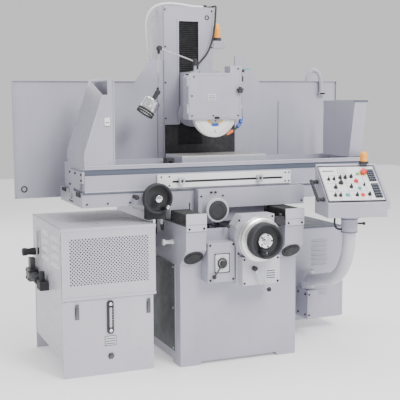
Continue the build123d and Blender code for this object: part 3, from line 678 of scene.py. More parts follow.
def outline(x0: float, x1: float, z0: float, z1: float, y: float, wide: float = 0.0022) -> Shape:
    """A thin printed border facing the operator.

    Args:
        x0: its left side.
        x1: its right side.
        z0: its lower side.
        z1: its upper side.
        y: its front face.
        wide: width of the line.

    Returns:
        The border's shape.
    """
    shape = Shape().box((x0, y, z0), (x1, y + 0.001, z0 + wide)).box((x0, y, z1 - wide),
        (x1, y + 0.001, z1))
    shape.box((x0, y, z0 + wide), (x0 + wide, y + 0.001, z1 - wide))
    return shape.box((x1 - wide, y, z0 + wide), (x1, y + 0.001, z1 - wide))


def dress(nodes: dict, finish: Finish, names: Iterable[str]) -> None:
    """Gives frame nodes a finish in place of their plain colour.

    Args:
        nodes: the frame's nodes by name.
        finish: the finish to give.
        names: the nodes to dress.
    """
    for name in names:
        slots = nodes[name].data.materials
        slots.clear()
        slots.append(finish.material)
        LOG.info("%s dressed as %s", name, finish.name)


# ---------------------------------------------------------------- sub-assemblies


@dataclass
class Base:
    """Base casting, way covers and the side cover's small parts."""

    nodes: dict
    front: float = -0.55
    lip: float = -0.635
    way_x: float = 0.284
    pleats: int = 22

    def build(self) -> None:
        """Dresses the base and adds its small parts."""
        dress(self.nodes, Finish.RUBBER, ["lifting_plugs"])
        dress(self.nodes, Finish.LIGHT, ["base_covers"])
        self.cover_screws()
        self.side_cover()
        for side in (-1, 1):
            self.bellows(side)
        self.rail_strips()

    def cover_screws(self) -> None:
        """Screws on the way caps, the front wall and the feet."""
        shape = Shape()
        for side in (-1, 1):
            for x in (self.way_x - 0.04, self.way_x + 0.04):
                shape.screw((side * x, self.lip - 0.008, 0.745), Along.Y, 0.0055, -0.005)
            shape.box(*sorted_box((side * (self.way_x - 0.054), self.lip - 0.0086, 0.7655),
                (side * (self.way_x + 0.054), self.lip - 0.0076, 0.7668)))
        shape.made("way_cap_screws", Finish.SCREW, "base", 0)
        nipple = Shape().lathe([(0, 0.011), (0.006, 0.011), (0.006, 0.007), (0.016, 0.007),
            (0.02, 0.004)], (0.225, self.front, 0.65), Along.Y, 6)
        nipple.placed(Matrix.Translation((0, -0.02, 0))).made("grease_nipple", Finish.BRASS, "base",
            0.0006)
        seam = Shape()
        seam.box((-0.228, self.front - 0.0025, 0.648), (0.228, self.front + 0.001, 0.656))
        seam.made("front_seam", Finish.SHADE, "base", 0.001)

    def side_cover(self) -> None:
        """The dark cover on the left side, its screws and the oil fitting above it."""
        x = -0.344
        shape = Shape().box((x - 0.0015, -0.478, 0.068), (x + 0.001, 0.338, 0.538))
        shape.made("side_cover_face", Finish.SIDE, "base", 0.001, slot="side_cover_paint")
        screws = Shape()
        for y in (-0.462, -0.07, 0.322):
            for z in (0.084, 0.302, 0.522):
                screws.screw((x - 0.0015, y, z), Along.X, 0.006, -0.005)
        screws.made("side_cover_screws", Finish.STEEL, "base", 0)
        fitting = Shape()
        fitting.lathe([(0, 0.016), (0.012, 0.016), (0.012, 0.01), (0.05, 0.01), (0.05, 0.014),
            (0.06, 0.014)], (-0.4, -0.45, 0.655), Along.X, 24)
        fitting.made("way_oil_fitting", Finish.WHITE, "base", 0.0006)

    def bellows(self, side: int) -> None:
        """One front way cover, pleated, left on no body.

        Args:
            side: -1 for the left way, 1 for the right.
        """
        low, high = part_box("way_bellows")
        x0, x1 = self.way_x - 0.05, self.way_x + 0.05
        rings = []
        for i in range(2 * self.pleats + 1):
            y = low.y + (high.y - low.y) * i / (2 * self.pleats)
            pull = 0.0055 if i % 2 else 0.0
            outer = [(x0 + pull, low.z), (x0 + pull, high.z - pull), (x1 - pull, high.z - pull),
                (x1 - pull, low.z)]
            inner = [(x1 - pull - 0.0015, low.z), (x1 - pull - 0.0015, high.z - pull - 0.0015),
                (x0 + pull + 0.0015, high.z - pull - 0.0015), (x0 + pull + 0.0015, low.z)]
            rings.append([(side * x, y, z) for x, z in outer + inner])
        name = "way_bellows_" + ("left" if side < 0 else "right")
        piece = Shape().loft(rings).made(name, Finish.RUBBER, None, 0)
        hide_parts("way_bellows")
        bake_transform(piece)

    def rail_strips(self) -> None:
        """Bright ground faces on top of the two cross ways."""
        shape = Shape()
        shape.box((self.way_x - 0.037, -0.62, 0.7898), (self.way_x + 0.037, 0.287, 0.7903))
        for x0, x1 in ((-0.322, -0.302), (-0.266, -0.246)):
            shape.box((x0, -0.62, 0.7898), (x1, 0.287, 0.7903))
        shape.made("way_faces", Finish.STEEL, "base", 0)


@dataclass
class FrontControls:
    """Speed valve, crossfeed gearbox, dial, handwheel and feed lever."""

    nodes: dict
    x: float = 0.045
    z: float = 0.681
    graduations: int = 100
    grip: tuple[float, float] = (0.021, 0.63)

    def build(self) -> None:
        """Builds and dresses every control on the base's front."""
        dress(self.nodes, Finish.LIGHT, ["crossfeed_gearbox"])
        dress(self.nodes, Finish.TURNED, ["crossfeed_screw"])
        dress(self.nodes, Finish.BLACK, ["limit_switch"])
        self.valve_plate()
        self.gearbox_trim()
        self.dial()
        self.handwheel()
        self.speed_lever()
        self.feed_lever()

    def valve_plate(self) -> None:
        """Dial plate with its scale arc and four cover screws on the speed valve box."""
        low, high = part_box("speed_valve_box")
        plate = Shape().box((-0.185, low.y - 0.0012, 0.507), (-0.1, low.y + 0.001, 0.609))
        plate.made("speed_plate", Finish.PLATE, "base", 0.0006)
        outline(-0.185, -0.1, 0.507, 0.609, low.y - 0.0018, 0.004).made("speed_plate_border", Finish.INK,
            "base", 0)
        marks = Shape()
        for i in range(13):
            angle = math.radians(-60 + 20 * i)
            spot = Matrix.Translation((-0.142, low.y - 0.0016, 0.558)) @ Matrix.Rotation(angle, 4, "Y")
            marks.loft([[spot @ Vector(corner) for corner in ring]
                for ring in ([(-0.0008, 0, 0.028), (0.0008, 0, 0.028),
                (0.0008, 0, 0.036 if i % 3 else 0.04), (-0.0008, 0, 0.036 if i % 3 else 0.04)],
                [(-0.0008, 0.001, 0.028), (0.0008, 0.001, 0.028), (0.0008, 0.001, 0.036),
                (-0.0008, 0.001, 0.036)])])
        marks.made("speed_marks", Finish.INK, "base", 0)
        bezel = Shape().lathe([(-0.006, 0.021), (-0.006, 0.026), (0, 0.028), (0, 0.021), (-0.006, 0.021)],
            (-0.142, low.y - 0.001, 0.558), Along.Y, 48)
        bezel.made("speed_bezel", Finish.BLACK, "base", 0.0004)
        screws = Shape()
        for x in (low.x + 0.012, high.x - 0.012):
            for z in (low.z + 0.012, high.z - 0.012):
                screws.screw((x, -0.638, z), Along.Y, 0.0055, -0.005)
        for x in (-0.18, -0.105):
            for z in (0.512, 0.604):
                screws.screw((x, low.y - 0.001, z), Along.Y, 0.0026, -0.002)
        screws.made("valve_box_screws", Finish.SCREW, "base", 0)

    def gearbox_trim(self) -> None:
        """Cover screws, a blank plate, the drum's lip and the limit switch's roller."""
        screws = Shape()
        for x, z in ((-0.038, 0.45), (0.156, 0.45), (-0.038, 0.575), (0.156, 0.575)):
            screws.screw((x, -0.69, z), Along.Y, 0.0055, -0.005)
        for x, z in ((-0.045, 0.775), (0.148, 0.788), (-0.05, 0.6), (0.148, 0.6)):
            screws.screw((x, -0.64, z), Along.Y, 0.0055, -0.005)
        screws.made("gearbox_screws", Finish.SCREW, "base", 0)
        plate = Shape().box((0.082, -0.6925, 0.462), (0.146, -0.689, 0.52))
        plate.made("gearbox_plate", Finish.PLATE, "base", 0.0005)
        bars = Shape().ribs(4, (0.088, -0.6932, 0.468), (0.14, -0.692, 0.474), (0, 0, 0.0125))
        bars.made("gearbox_plate_bars", Finish.SHADE, "base", 0)
        lip = Shape().tube((-0.004, 0.006), (0.1186, 0.11), (self.x, -0.697, self.z), Along.Y, 96)
        lip.made("drum_lip", Finish.SILVER, "base", 0.0006)
        arrow = Shape().prism([(-0.004, 0.116), (0.004, 0.116), (0, 0.108)], Along.Y, -0.0021, 0)
        arrow.placed(Matrix.Translation((self.x, -0.7005, self.z))).made("drum_pointer", Finish.RED,
            "base", 0)
        roller = Shape().tube((0, 0.012), (0.0025, 0.0088), (0.198, -0.622, 0.7885), Along.X, 32)
        roller.made("switch_roller", Finish.CHROME, "base", 0.0004)
        lid = Shape().box((0.17, -0.6418, 0.743), (0.218, -0.639, 0.777))
        lid.screw((0.175, -0.6418, 0.748), Along.Y, 0.0022, -0.0016)
        lid.screw((0.213, -0.6418, 0.772), Along.Y, 0.0022, -0.0016)
        lid.made("switch_lid", Finish.BLACK, "base")

    def dial(self) -> None:
        """Two-step graduated dial with engraved lines."""
        profile = [(0.042, 0.0125), (0.042, 0.114), (0.022, 0.114), (0.019, 0.108), (0.016, 0.102),
            (0.003, 0.102), (0, 0.099), (0, 0.0125), (0.042, 0.0125)]
        dial = Shape().lathe(profile, (self.x, -0.744, self.z), Along.Y, 128)
        dial.made("crossfeed_dial_ring", Finish.SILVER, "crossfeed", 0.0006,
            stands_for=["crossfeed_dial"])
        marks = Shape()
        for i in range(self.graduations):
            long = 0.013 if i % 10 == 0 else 0.009 if i % 5 == 0 else 0.0055
            turn = Matrix.Translation((self.x, 0,
                self.z)) @ Matrix.Rotation(math.tau * i / self.graduations, 4, "Y")
            corners = [(-0.0005, 0.1135), (0.0005, 0.1135), (0.0005, 0.1144), (-0.0005, 0.1144)]
            marks.loft([[turn @ Vector((x, y, z)) for x, z in corners] for y in (-0.722, -0.722 + long)])
            front = [(-0.0005, 0.1015), (0.0005, 0.1015), (0.0005, 0.1024), (-0.0005, 0.1024)]
            marks.loft([[turn @ Vector((x, y, z)) for x, z in front]
                for y in (-0.741, -0.741 + long * 0.9)])
        marks.made("crossfeed_dial_marks", Finish.INK, "crossfeed", 0)

    def handwheel(self) -> None:
        """Dished black wheel, its chrome hub with five screws, and the revolving grip."""
        profile = [(-0.008, 0.026), (-0.008, 0.062), (-0.012, 0.074), (-0.034, 0.0785), (-0.042, 0.081),
            (-0.046, 0.086), (-0.044, 0.0915), (-0.036, 0.093), (-0.002, 0.093), (0, 0.09), (0, 0.026),
            (-0.008, 0.026)]
        wheel = Shape().lathe(profile, (self.x, -0.746, self.z), Along.Y, 96)
        wheel.made("crossfeed_wheel", Finish.BLACK, "crossfeed", 0.0006,
            stands_for=["crossfeed_handwheel"])
        hub = Shape().lathe([(0.002, 0.0125), (0.002, 0.03), (-0.012, 0.031), (-0.02, 0.041),
            (-0.026, 0.041), (-0.03, 0.036), (-0.03, 0.02), (-0.046, 0.019), (-0.049, 0.016),
            (-0.049, 0.0125), (0.002, 0.0125)], (self.x, -0.746, self.z), Along.Y, 64)
        hub.made("crossfeed_hub", Finish.CHROME, "crossfeed", 0.0005)
        screws = Shape()
        for i in range(5):
            angle = math.tau * (i + 0.25) / 5
            spot = (self.x + 0.0305 * math.sin(angle), -0.776, self.z + 0.0305 * math.cos(angle))
            screws.screw(spot, Along.Y, 0.0042, -0.004)
        screws.made("crossfeed_hub_screws", Finish.SCREW, "crossfeed", 0)
        x, z = self.grip
        spin = Shape().lathe([(0, 0.0055), (-0.078, 0.0055)], (x, -0.754, z), Along.Y, 24)
        spin.made("crossfeed_grip_spindle", Finish.CHROME, "crossfeed", 0)
        barrel = [(0, 0.0065), (0, 0.011), (-0.006, 0.0125), (-0.02, 0.0105), (-0.05, 0.013),
            (-0.07, 0.0128), (-0.079, 0.0095), (-0.083, 0.0065), (0, 0.0065)]
        grip = Shape().lathe(barrel, (x, -0.759, z), Along.Y, 40)
        grip.made("crossfeed_grip_barrel", Finish.BLACK, "crossfeed_knob", 0.0004,
            stands_for=["crossfeed_grip"])

    def speed_lever(self) -> None:
        """Black hub, chrome rod and black ball."""
        hub, ball = Vector((-0.142, -0.655, 0.558)), Vector((-0.193, -0.658, 0.491))
        knob = Shape().lathe([(0.012, 0.013), (0.0, 0.0155), (-0.008, 0.0155), (-0.012, 0.012)], hub,
            Along.Y, 40)
        knob.made("speed_hub", Finish.BLACK, "speed_control", 0.0005, stands_for=["speed_lever"])
        Shape().rod(hub, ball, 0.0042).made("speed_rod", Finish.IRON, "speed_control", 0, slot="chrome")
        Shape().ball(ball, 0.0115).made("speed_ball", Finish.BLACK, "speed_control", 0)

    def feed_lever(self) -> None:
        """Turned hub, tapered bright lever and black ball."""
        hub, ball = Vector((0.017, -0.706, 0.527)), Vector((0.08, -0.74, 0.42))
        boss = Shape().lathe([(0.015, 0.013), (-0.006, 0.013), (-0.011, 0.009)], hub, Along.Y, 40)
        boss.made("feed_hub", Finish.BLACK, "feed_control", 0.0005, stands_for=["feed_lever"])
        Shape().rod(hub, ball, 0.0085, 0.0048).made("feed_rod", Finish.TURNED, "feed_control", 0.0003,
            slot="chrome")
        Shape().ball(ball, 0.0122).made("feed_ball", Finish.BLACK, "feed_control", 0)


@dataclass
class Cabinet:
    """Electrical cabinet: louvers, lid, door furniture and conduit."""

    front: float = -0.19
    louver_x: tuple[float, float] = (0.645, 0.758)
    depth: float = 0.007

    def louver(self, shape: Shape, x0: float, x1: float, z: float) -> None:
        """Adds one pressed louver hood to a shape.

        Args:
            shape: the shape to add to.
            x0: its left end.
            x1: its right end.
            z: its middle height.
        """
        y = self.front
        rings = []
        for x, rise in ((x0, 0.15), (x0 + 0.006, 0.8), (x0 + 0.012, 1.0), (x1 - 0.012, 1.0),
                (x1 - 0.006, 0.8), (x1, 0.15)):
            out = self.depth * rise
            rings.append([(x, y + 0.001, z + 0.006), (x, y - out * 0.55, z + 0.004),
                (x, y - out, z - 0.003), (x, y - out, z - 0.005), (x, y + 0.001, z - 0.005)])
        shape.loft(rings)

    def build(self) -> None:
        """Builds the cabinet's louvers, lid, bolts and conduit."""
        hoods, slots = Shape(), Shape()
        for start, count in ((0.417, 6), (0.236, 4)):
            for i in range(count):
                z = start + 0.028 * i
                self.louver(hoods, *self.louver_x, z)
                # Painted shade: a dark strip in each louver's opening.
                slots.box((self.louver_x[0] + 0.01, self.front - 0.005, z - 0.0065),
                    (self.louver_x[1] - 0.01, self.front + 0.0005, z - 0.005))
        hoods.made("cabinet_louvers", Finish.ENAMEL, "base", 0.0004)
        slots.made("cabinet_louver_shade", Finish.INK, "base", 0)
        lid = Shape()
        lid.box((0.343, self.front - 0.004, 0.632), (0.852, self.front + 0.464, 0.6415))
        lid.made("cabinet_lid", Finish.SHADE, "base", 0.002)
        bolts = Shape()
        for z in (0.14, 0.262):
            for y in (-0.3, -0.215):
                bolts.screw((0.546, y, z), Along.X, 0.006, -0.005)
            bolts.screw((0.556, -0.325, z), Along.Y, 0.0055, -0.004)
        bolts.made("arm_bracket_bolts", Finish.SCREW, "base", 0)
        self.door_parts()
        route = [(0.56, -0.12, 0.08), (0.56, -0.12, 0.052), (0.532, -0.119, 0.027), (0.486, -0.117, 0.02),
            (0.44, -0.114, 0.025), (0.4, -0.112, 0.046), (0.372, -0.111, 0.06), (0.34, -0.111, 0.06)]
        loop = hose_line("cabinet_conduit", route, 0.012, Finish.RUBBER, "base", ribbed=True)

    def door_parts(self) -> None:
        """Lock, handle, lid fold and gland on the door side."""
        low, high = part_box("cabinet_door")
        plate = Shape().box((high.x - 0.001, low.y + 0.03, 0.33), (high.x + 0.004, low.y + 0.062, 0.44))
        plate.box((high.x + 0.003, low.y + 0.038, 0.345), (high.x + 0.018, low.y + 0.054, 0.41))
        plate.made("cabinet_door_handle", Finish.BLACK, "door", 0.0015)
        stiff = Shape()
        stiff.box((high.x - 0.0005, low.y + 0.02, low.z + 0.02),
            (high.x + 0.0015, high.y - 0.02, low.z + 0.026))
        stiff.box((high.x - 0.0005, low.y + 0.02, high.z - 0.026),
            (high.x + 0.0015, high.y - 0.02, high.z - 0.02))
        stiff.made("cabinet_door_folds", Finish.ENAMEL, "door")
        gland = Shape().lathe([(0, 0.0122), (0, 0.019), (-0.01, 0.019), (-0.014, 0.0155), (-0.02, 0.0155),
            (-0.02, 0.0122), (0, 0.0122)], (0.56, -0.12, 0.0815), Along.Z, 6)
        gland.made("cabinet_gland", Finish.BLACK, "base", 0.0006)


@dataclass
class Console:
    """Operator's console on its swinging arm."""

    nodes: dict
    pivot: tuple[float, float] = (0.547, -0.76)
    turn: float = -13.0
    low: tuple[float, float] = (-0.122, 0.873)
    high: tuple[float, float] = (0.085, 1.038)
    thick: float = 0.004
    rows: tuple[float, ...] = (0.04, 0.098, 0.16)

    def place(self) -> Matrix:
        """From the swivel's own axes to the row frame."""
        return Matrix.Translation((*self.pivot, 0)) @ Matrix.Rotation(math.radians(self.turn), 4, "Z")

    def panel(self, x: float, along: float) -> Matrix:
        """From a spot on the sloped panel to the row frame.

        Args:
            x: place across the panel.
            along: distance up from its lower edge.

        Returns:
            A matrix whose Z leaves the panel.
        """
        rise = math.atan2(self.high[1] - self.low[1], self.high[0] - self.low[0])
        y = self.low[0] + along * math.cos(rise)
        z = self.low[1] + along * math.sin(rise)
        return self.place() @ Matrix.Translation((x, y, z)) @ Matrix.Rotation(rise, 4, "X")

    def knob(self, x: float, along: float, radius: float) -> Shape:
        """A round knob with a raised bar grip.

        Args:
            x: place across the panel.
            along: distance up the panel.
            radius: its radius.

        Returns:
            The knob.
        """
        shape = Shape().lathe([(0.0, radius), (0.004, radius), (0.006, radius * 0.8),
            (0.01, radius * 0.78)], (0, 0, self.thick), Along.Z, 32)
        shape.prism([(-radius * 0.28, -radius * 0.95), (radius * 0.28, -radius * 0.95),
            (radius * 0.28, radius * 0.95), (-radius * 0.28, radius * 0.95)], Along.Z, self.thick + 0.009,
            self.thick + 0.018)
        return shape.placed(self.panel(x, along))

    def button(self, x: float, along: float, radius: float, rise: float) -> Shape:
        """A push button or lens with a collar.

        Args:
            x: place across the panel.
            along: distance up the panel.
            radius: radius of the cap.
            rise: height of the cap.

        Returns:
            The button.
        """
        profile = [(0.0, ON_AXIS), (0.0, radius * 1.25), (0.003, radius * 1.25), (0.004, radius),
            (rise * 0.8, radius), (rise, radius * 0.82), (rise, ON_AXIS)]
        return Shape().lathe(profile, (0, 0, self.thick), Along.Z, 32).placed(self.panel(x, along))

    def build(self) -> None:
        """Builds and dresses the arm, the box and everything on it."""
        dress(self.nodes, Finish.LIGHT, ["support_arm"])
        face = Shape().box((-0.148, 0.006, self.thick - 0.001), (0.148, 0.256, self.thick + 0.0012))
        face.placed(self.panel(0, 0)).made("console_face", Finish.PANEL, "console", 0.0005)
        self.fields()
        self.controls()
        self.display_blocks()
        self.moving_buttons()
        self.handle()
        self.collar()
        Beacon("console", (0.105, 0.082), 1.053, 0.022, 0.067, self.place()).build()

    def fields(self) -> None:
        """Thin bars and boxes that divide the panel into groups."""
        shape = Shape()
        top = self.thick + 0.0016
        for x, low, high in ((-0.086, 0.012, 0.205), (-0.03, 0.012, 0.205), (0.034, 0.012, 0.17),
                (0.072, 0.012, 0.25)):
            shape.box((x, low, top - 0.001), (x + 0.0012, high, top))
        for along in (0.072, 0.13, 0.19):
            shape.box((-0.14, along, top - 0.001), (0.072, along + 0.0012, top))
        shape.box((-0.138, 0.222, top - 0.001), (-0.075, 0.23, top))
        shape.placed(self.panel(0, 0)).made("console_field_lines", Finish.SHADE, "console", 0)
        bar = Shape().box((-0.055, 0.204, top - 0.001), (0.0, 0.248, top + 0.0015))
        bar.placed(self.panel(0, 0)).made("console_blank_plate", Finish.PLATE, "console", 0.0004)

    def controls(self) -> None:
        """Selector knobs, lamps and small switches in their rows."""
        knobs = Shape()
        first, second, third = self.rows
        spots = [(-0.118, third, 0.0085), (-0.088, third + 0.002, 0.0085),
            (-0.052, third + 0.012, 0.0105), (-0.024, third + 0.012, 0.0105),
            (0.01, third + 0.018, 0.0105), (-0.094, second + 0.002, 0.011),
            (-0.008, second + 0.004, 0.0105), (0.066, second + 0.016, 0.0065), (-0.11, first, 0.0095),
            (-0.082, first, 0.0095), (0.008, first, 0.01), (0.077, first + 0.003, 0.0105)]
        for x, along, radius in spots:
            knobs.merged(self.knob(x, along, radius))
        knobs.made("console_knobs", Finish.BLACK, "console", 0.0006)
        lenses = ((-0.042, first + 0.004, 0.0105, 0.007, Finish.TEAL, "ring_left"),
            (0.036, second - 0.006, 0.0085, 0.008, Finish.TEAL, "lamp_middle"),
            (0.04, first + 0.001, 0.0095, 0.01, Finish.RED, "reset"),
            (0.03, third - 0.014, 0.0105, 0.012, Finish.RED, "pump_stop"))
        for x, along, radius, rise, finish, name in lenses:
            slot = "red_plastic" if finish is Finish.RED else "green_plastic"
            self.button(x, along, radius, rise).made("console_" + name, finish, "console", 0.0004,
                slot=slot)

    def display_blocks(self) -> None:
        """Two dark display blocks with their key rows at the right."""
        top = self.thick
        for name, low, high in (("upper", 0.142, 0.232), ("lower", 0.018, 0.124)):
            frame = Shape().box((0.104, low, top), (0.144, high, top + 0.006))
            frame.placed(self.panel(0, 0)).made(f"console_block_{name}", Finish.SCREEN, "console", 0.0012)
            keys = Shape()
            for row in range(5):
                along = low + (high - low) * (0.1 + 0.18 * row)
                keys.ribs(3, (0.1085, along, top + 0.0055), (0.117, along + 0.01, top + 0.0078),
                    (0.0115, 0, 0))
            keys.placed(self.panel(0, 0)).made(f"console_keys_{name}", Finish.SHADE, "console", 0.0006)

    def moving_buttons(self) -> None:
        """The stop and start buttons and the mode selector, each on its own body."""
        stop = Shape().lathe([(-0.012, 0.0105), (0.012, 0.0105), (0.0145, 0.0165), (0.019, 0.018),
            (0.026, 0.0165), (0.029, 0.01)], (0, 0, 0), Along.Z, 40)
        stop.placed(self.panel(0.084, 0.206)).made("stop_mushroom", Finish.RED, "stop_button", 0.0004,
            stands_for=["estop_button"])
        start = Shape().lathe([(-0.009, 0.0078), (0.011, 0.0078), (0.012, 0.0068)], (0, 0, 0), Along.Z,
            32)
        start.placed(self.panel(0.052, 0.2)).made("start_cap", Finish.GREEN, "start_push", 0.0003,
            stands_for=["start_button"])
        mode = Shape().lathe([(-0.008, 0.0078), (0.005, 0.0078), (0.005, 0.013), (0.012, 0.0122),
            (0.015, 0.0105)], (0, 0, 0), Along.Z, 40)
        mode.prism([(-0.003, -0.0122), (0.003, -0.0122), (0.003, 0.0122), (-0.003, 0.0122)], Along.Z,
            0.014, 0.0245)
        mode.placed(self.panel(-0.057, 0.133)).made("mode_knob", Finish.BLACK, "selector", 0.0006,
            stands_for=["mode_selector"])
        rings = Shape()
        for x, along, inner, outer in ((0.084, 0.206, 0.0112, 0.02), (0.052, 0.2, 0.0082, 0.0115),
                (-0.057, 0.133, 0.0082, 0.015)):
            ring = Shape().lathe([(0.0048, inner), (0.0048, outer), (0.0057, outer - 0.001),
                (0.0057, inner), (0.0048, inner)], (0, 0, 0), Along.Z, 40).placed(self.panel(x, along))
            rings.merged(ring)
        rings.made("console_button_rings", Finish.YELLOW, "console", 0)

    def handle(self) -> None:
        """Black bail handle on the console's left side."""
        shape = Shape()
        for y, z in ((-0.062, 0.88), (0.054, 0.962)):
            shape.lathe([(0, 0.01), (-0.004, 0.012), (-0.03, 0.0085), (-0.04, 0.0085)], (-0.16, y, z),
                Along.X, 28)
        shape.rod((-0.195, -0.067, 0.877), (-0.195, 0.059, 0.966), 0.0082)
        shape.ball((-0.195, -0.067, 0.877), 0.0095).ball((-0.195, 0.059, 0.966), 0.0095)
        shape.placed(self.place()).made("console_bail", Finish.BLACK, "console", 0,
            stands_for=["console_fittings"])

    def collar(self) -> None:
        """Clamp collar trim, clamp screw and the cable under the box."""
        ring = Shape().tube((0, 0.006), (0.0445, 0.0465), (0, 0, 0.765), Along.Z, 56)
        ring.tube((0, 0.004), (0.0445, 0.0455), (0, 0, 0.696), Along.Z, 56)
        ring.placed(self.place()).made("collar_rings", Finish.SHADE, "console", 0.0005)
        screw = Shape().rod((0.043, -0.012, 0.742), (0.072, -0.02, 0.742), 0.005)
        screw.ball((0.074, -0.021, 0.742), 0.009)
        screw.placed(self.place()).made("collar_clamp", Finish.BLACK, "console", 0.0004)
        route = [(-0.09, -0.03, 0.792), (-0.091, -0.03, 0.77), (-0.092, -0.028, 0.746),
            (-0.08, -0.02, 0.72), (-0.055, -0.008, 0.712), (-0.044, -0.004, 0.712)]
        path = [self.place() @ Vector(point) for point in route]
        cable = hose_line("console_cable", path, 0.0055, Finish.RUBBER, "console")


@dataclass
class Beacon:
    """A warning beacon: black base, ribbed amber lens."""

    body: str
    spot: tuple[float, float]
    base_z: float
    radius: float
    height: float
    place: Matrix = field(default_factory=Matrix)

    def build(self) -> None:
        """Builds the base and the lens."""
        r, h = self.radius, self.height
        centre = (*self.spot, self.base_z)
        base = Shape().lathe([(0, r * 1.16), (h * 0.06, r * 1.18), (h * 0.13, r * 1.12),
            (h * 0.19, r * 1.12)], centre, Along.Z, 48)
        base.placed(self.place).made(f"{self.body}_beacon_base", Finish.BLACK, self.body, 0.0006)
        profile = [(h * 0.19, ON_AXIS), (h * 0.19, r)]
        bands = 7
        for i in range(bands):
            low = 0.22 + 0.42 * i / bands
            profile += [(h * low, r * 1.0), (h * (low + 0.03), r * 0.965)]
        for i in range(9):
            angle = math.pi / 2 * i / 8
            profile.append((h * 0.66 + h * 0.34 * math.sin(angle),
                max(ON_AXIS, r * 0.98 * math.cos(angle))))
        lens = Shape().lathe(profile, centre, Along.Z, 48).placed(self.place)
        lens.made(f"{self.body}_beacon_lens", Finish.AMBER, self.body, 0)


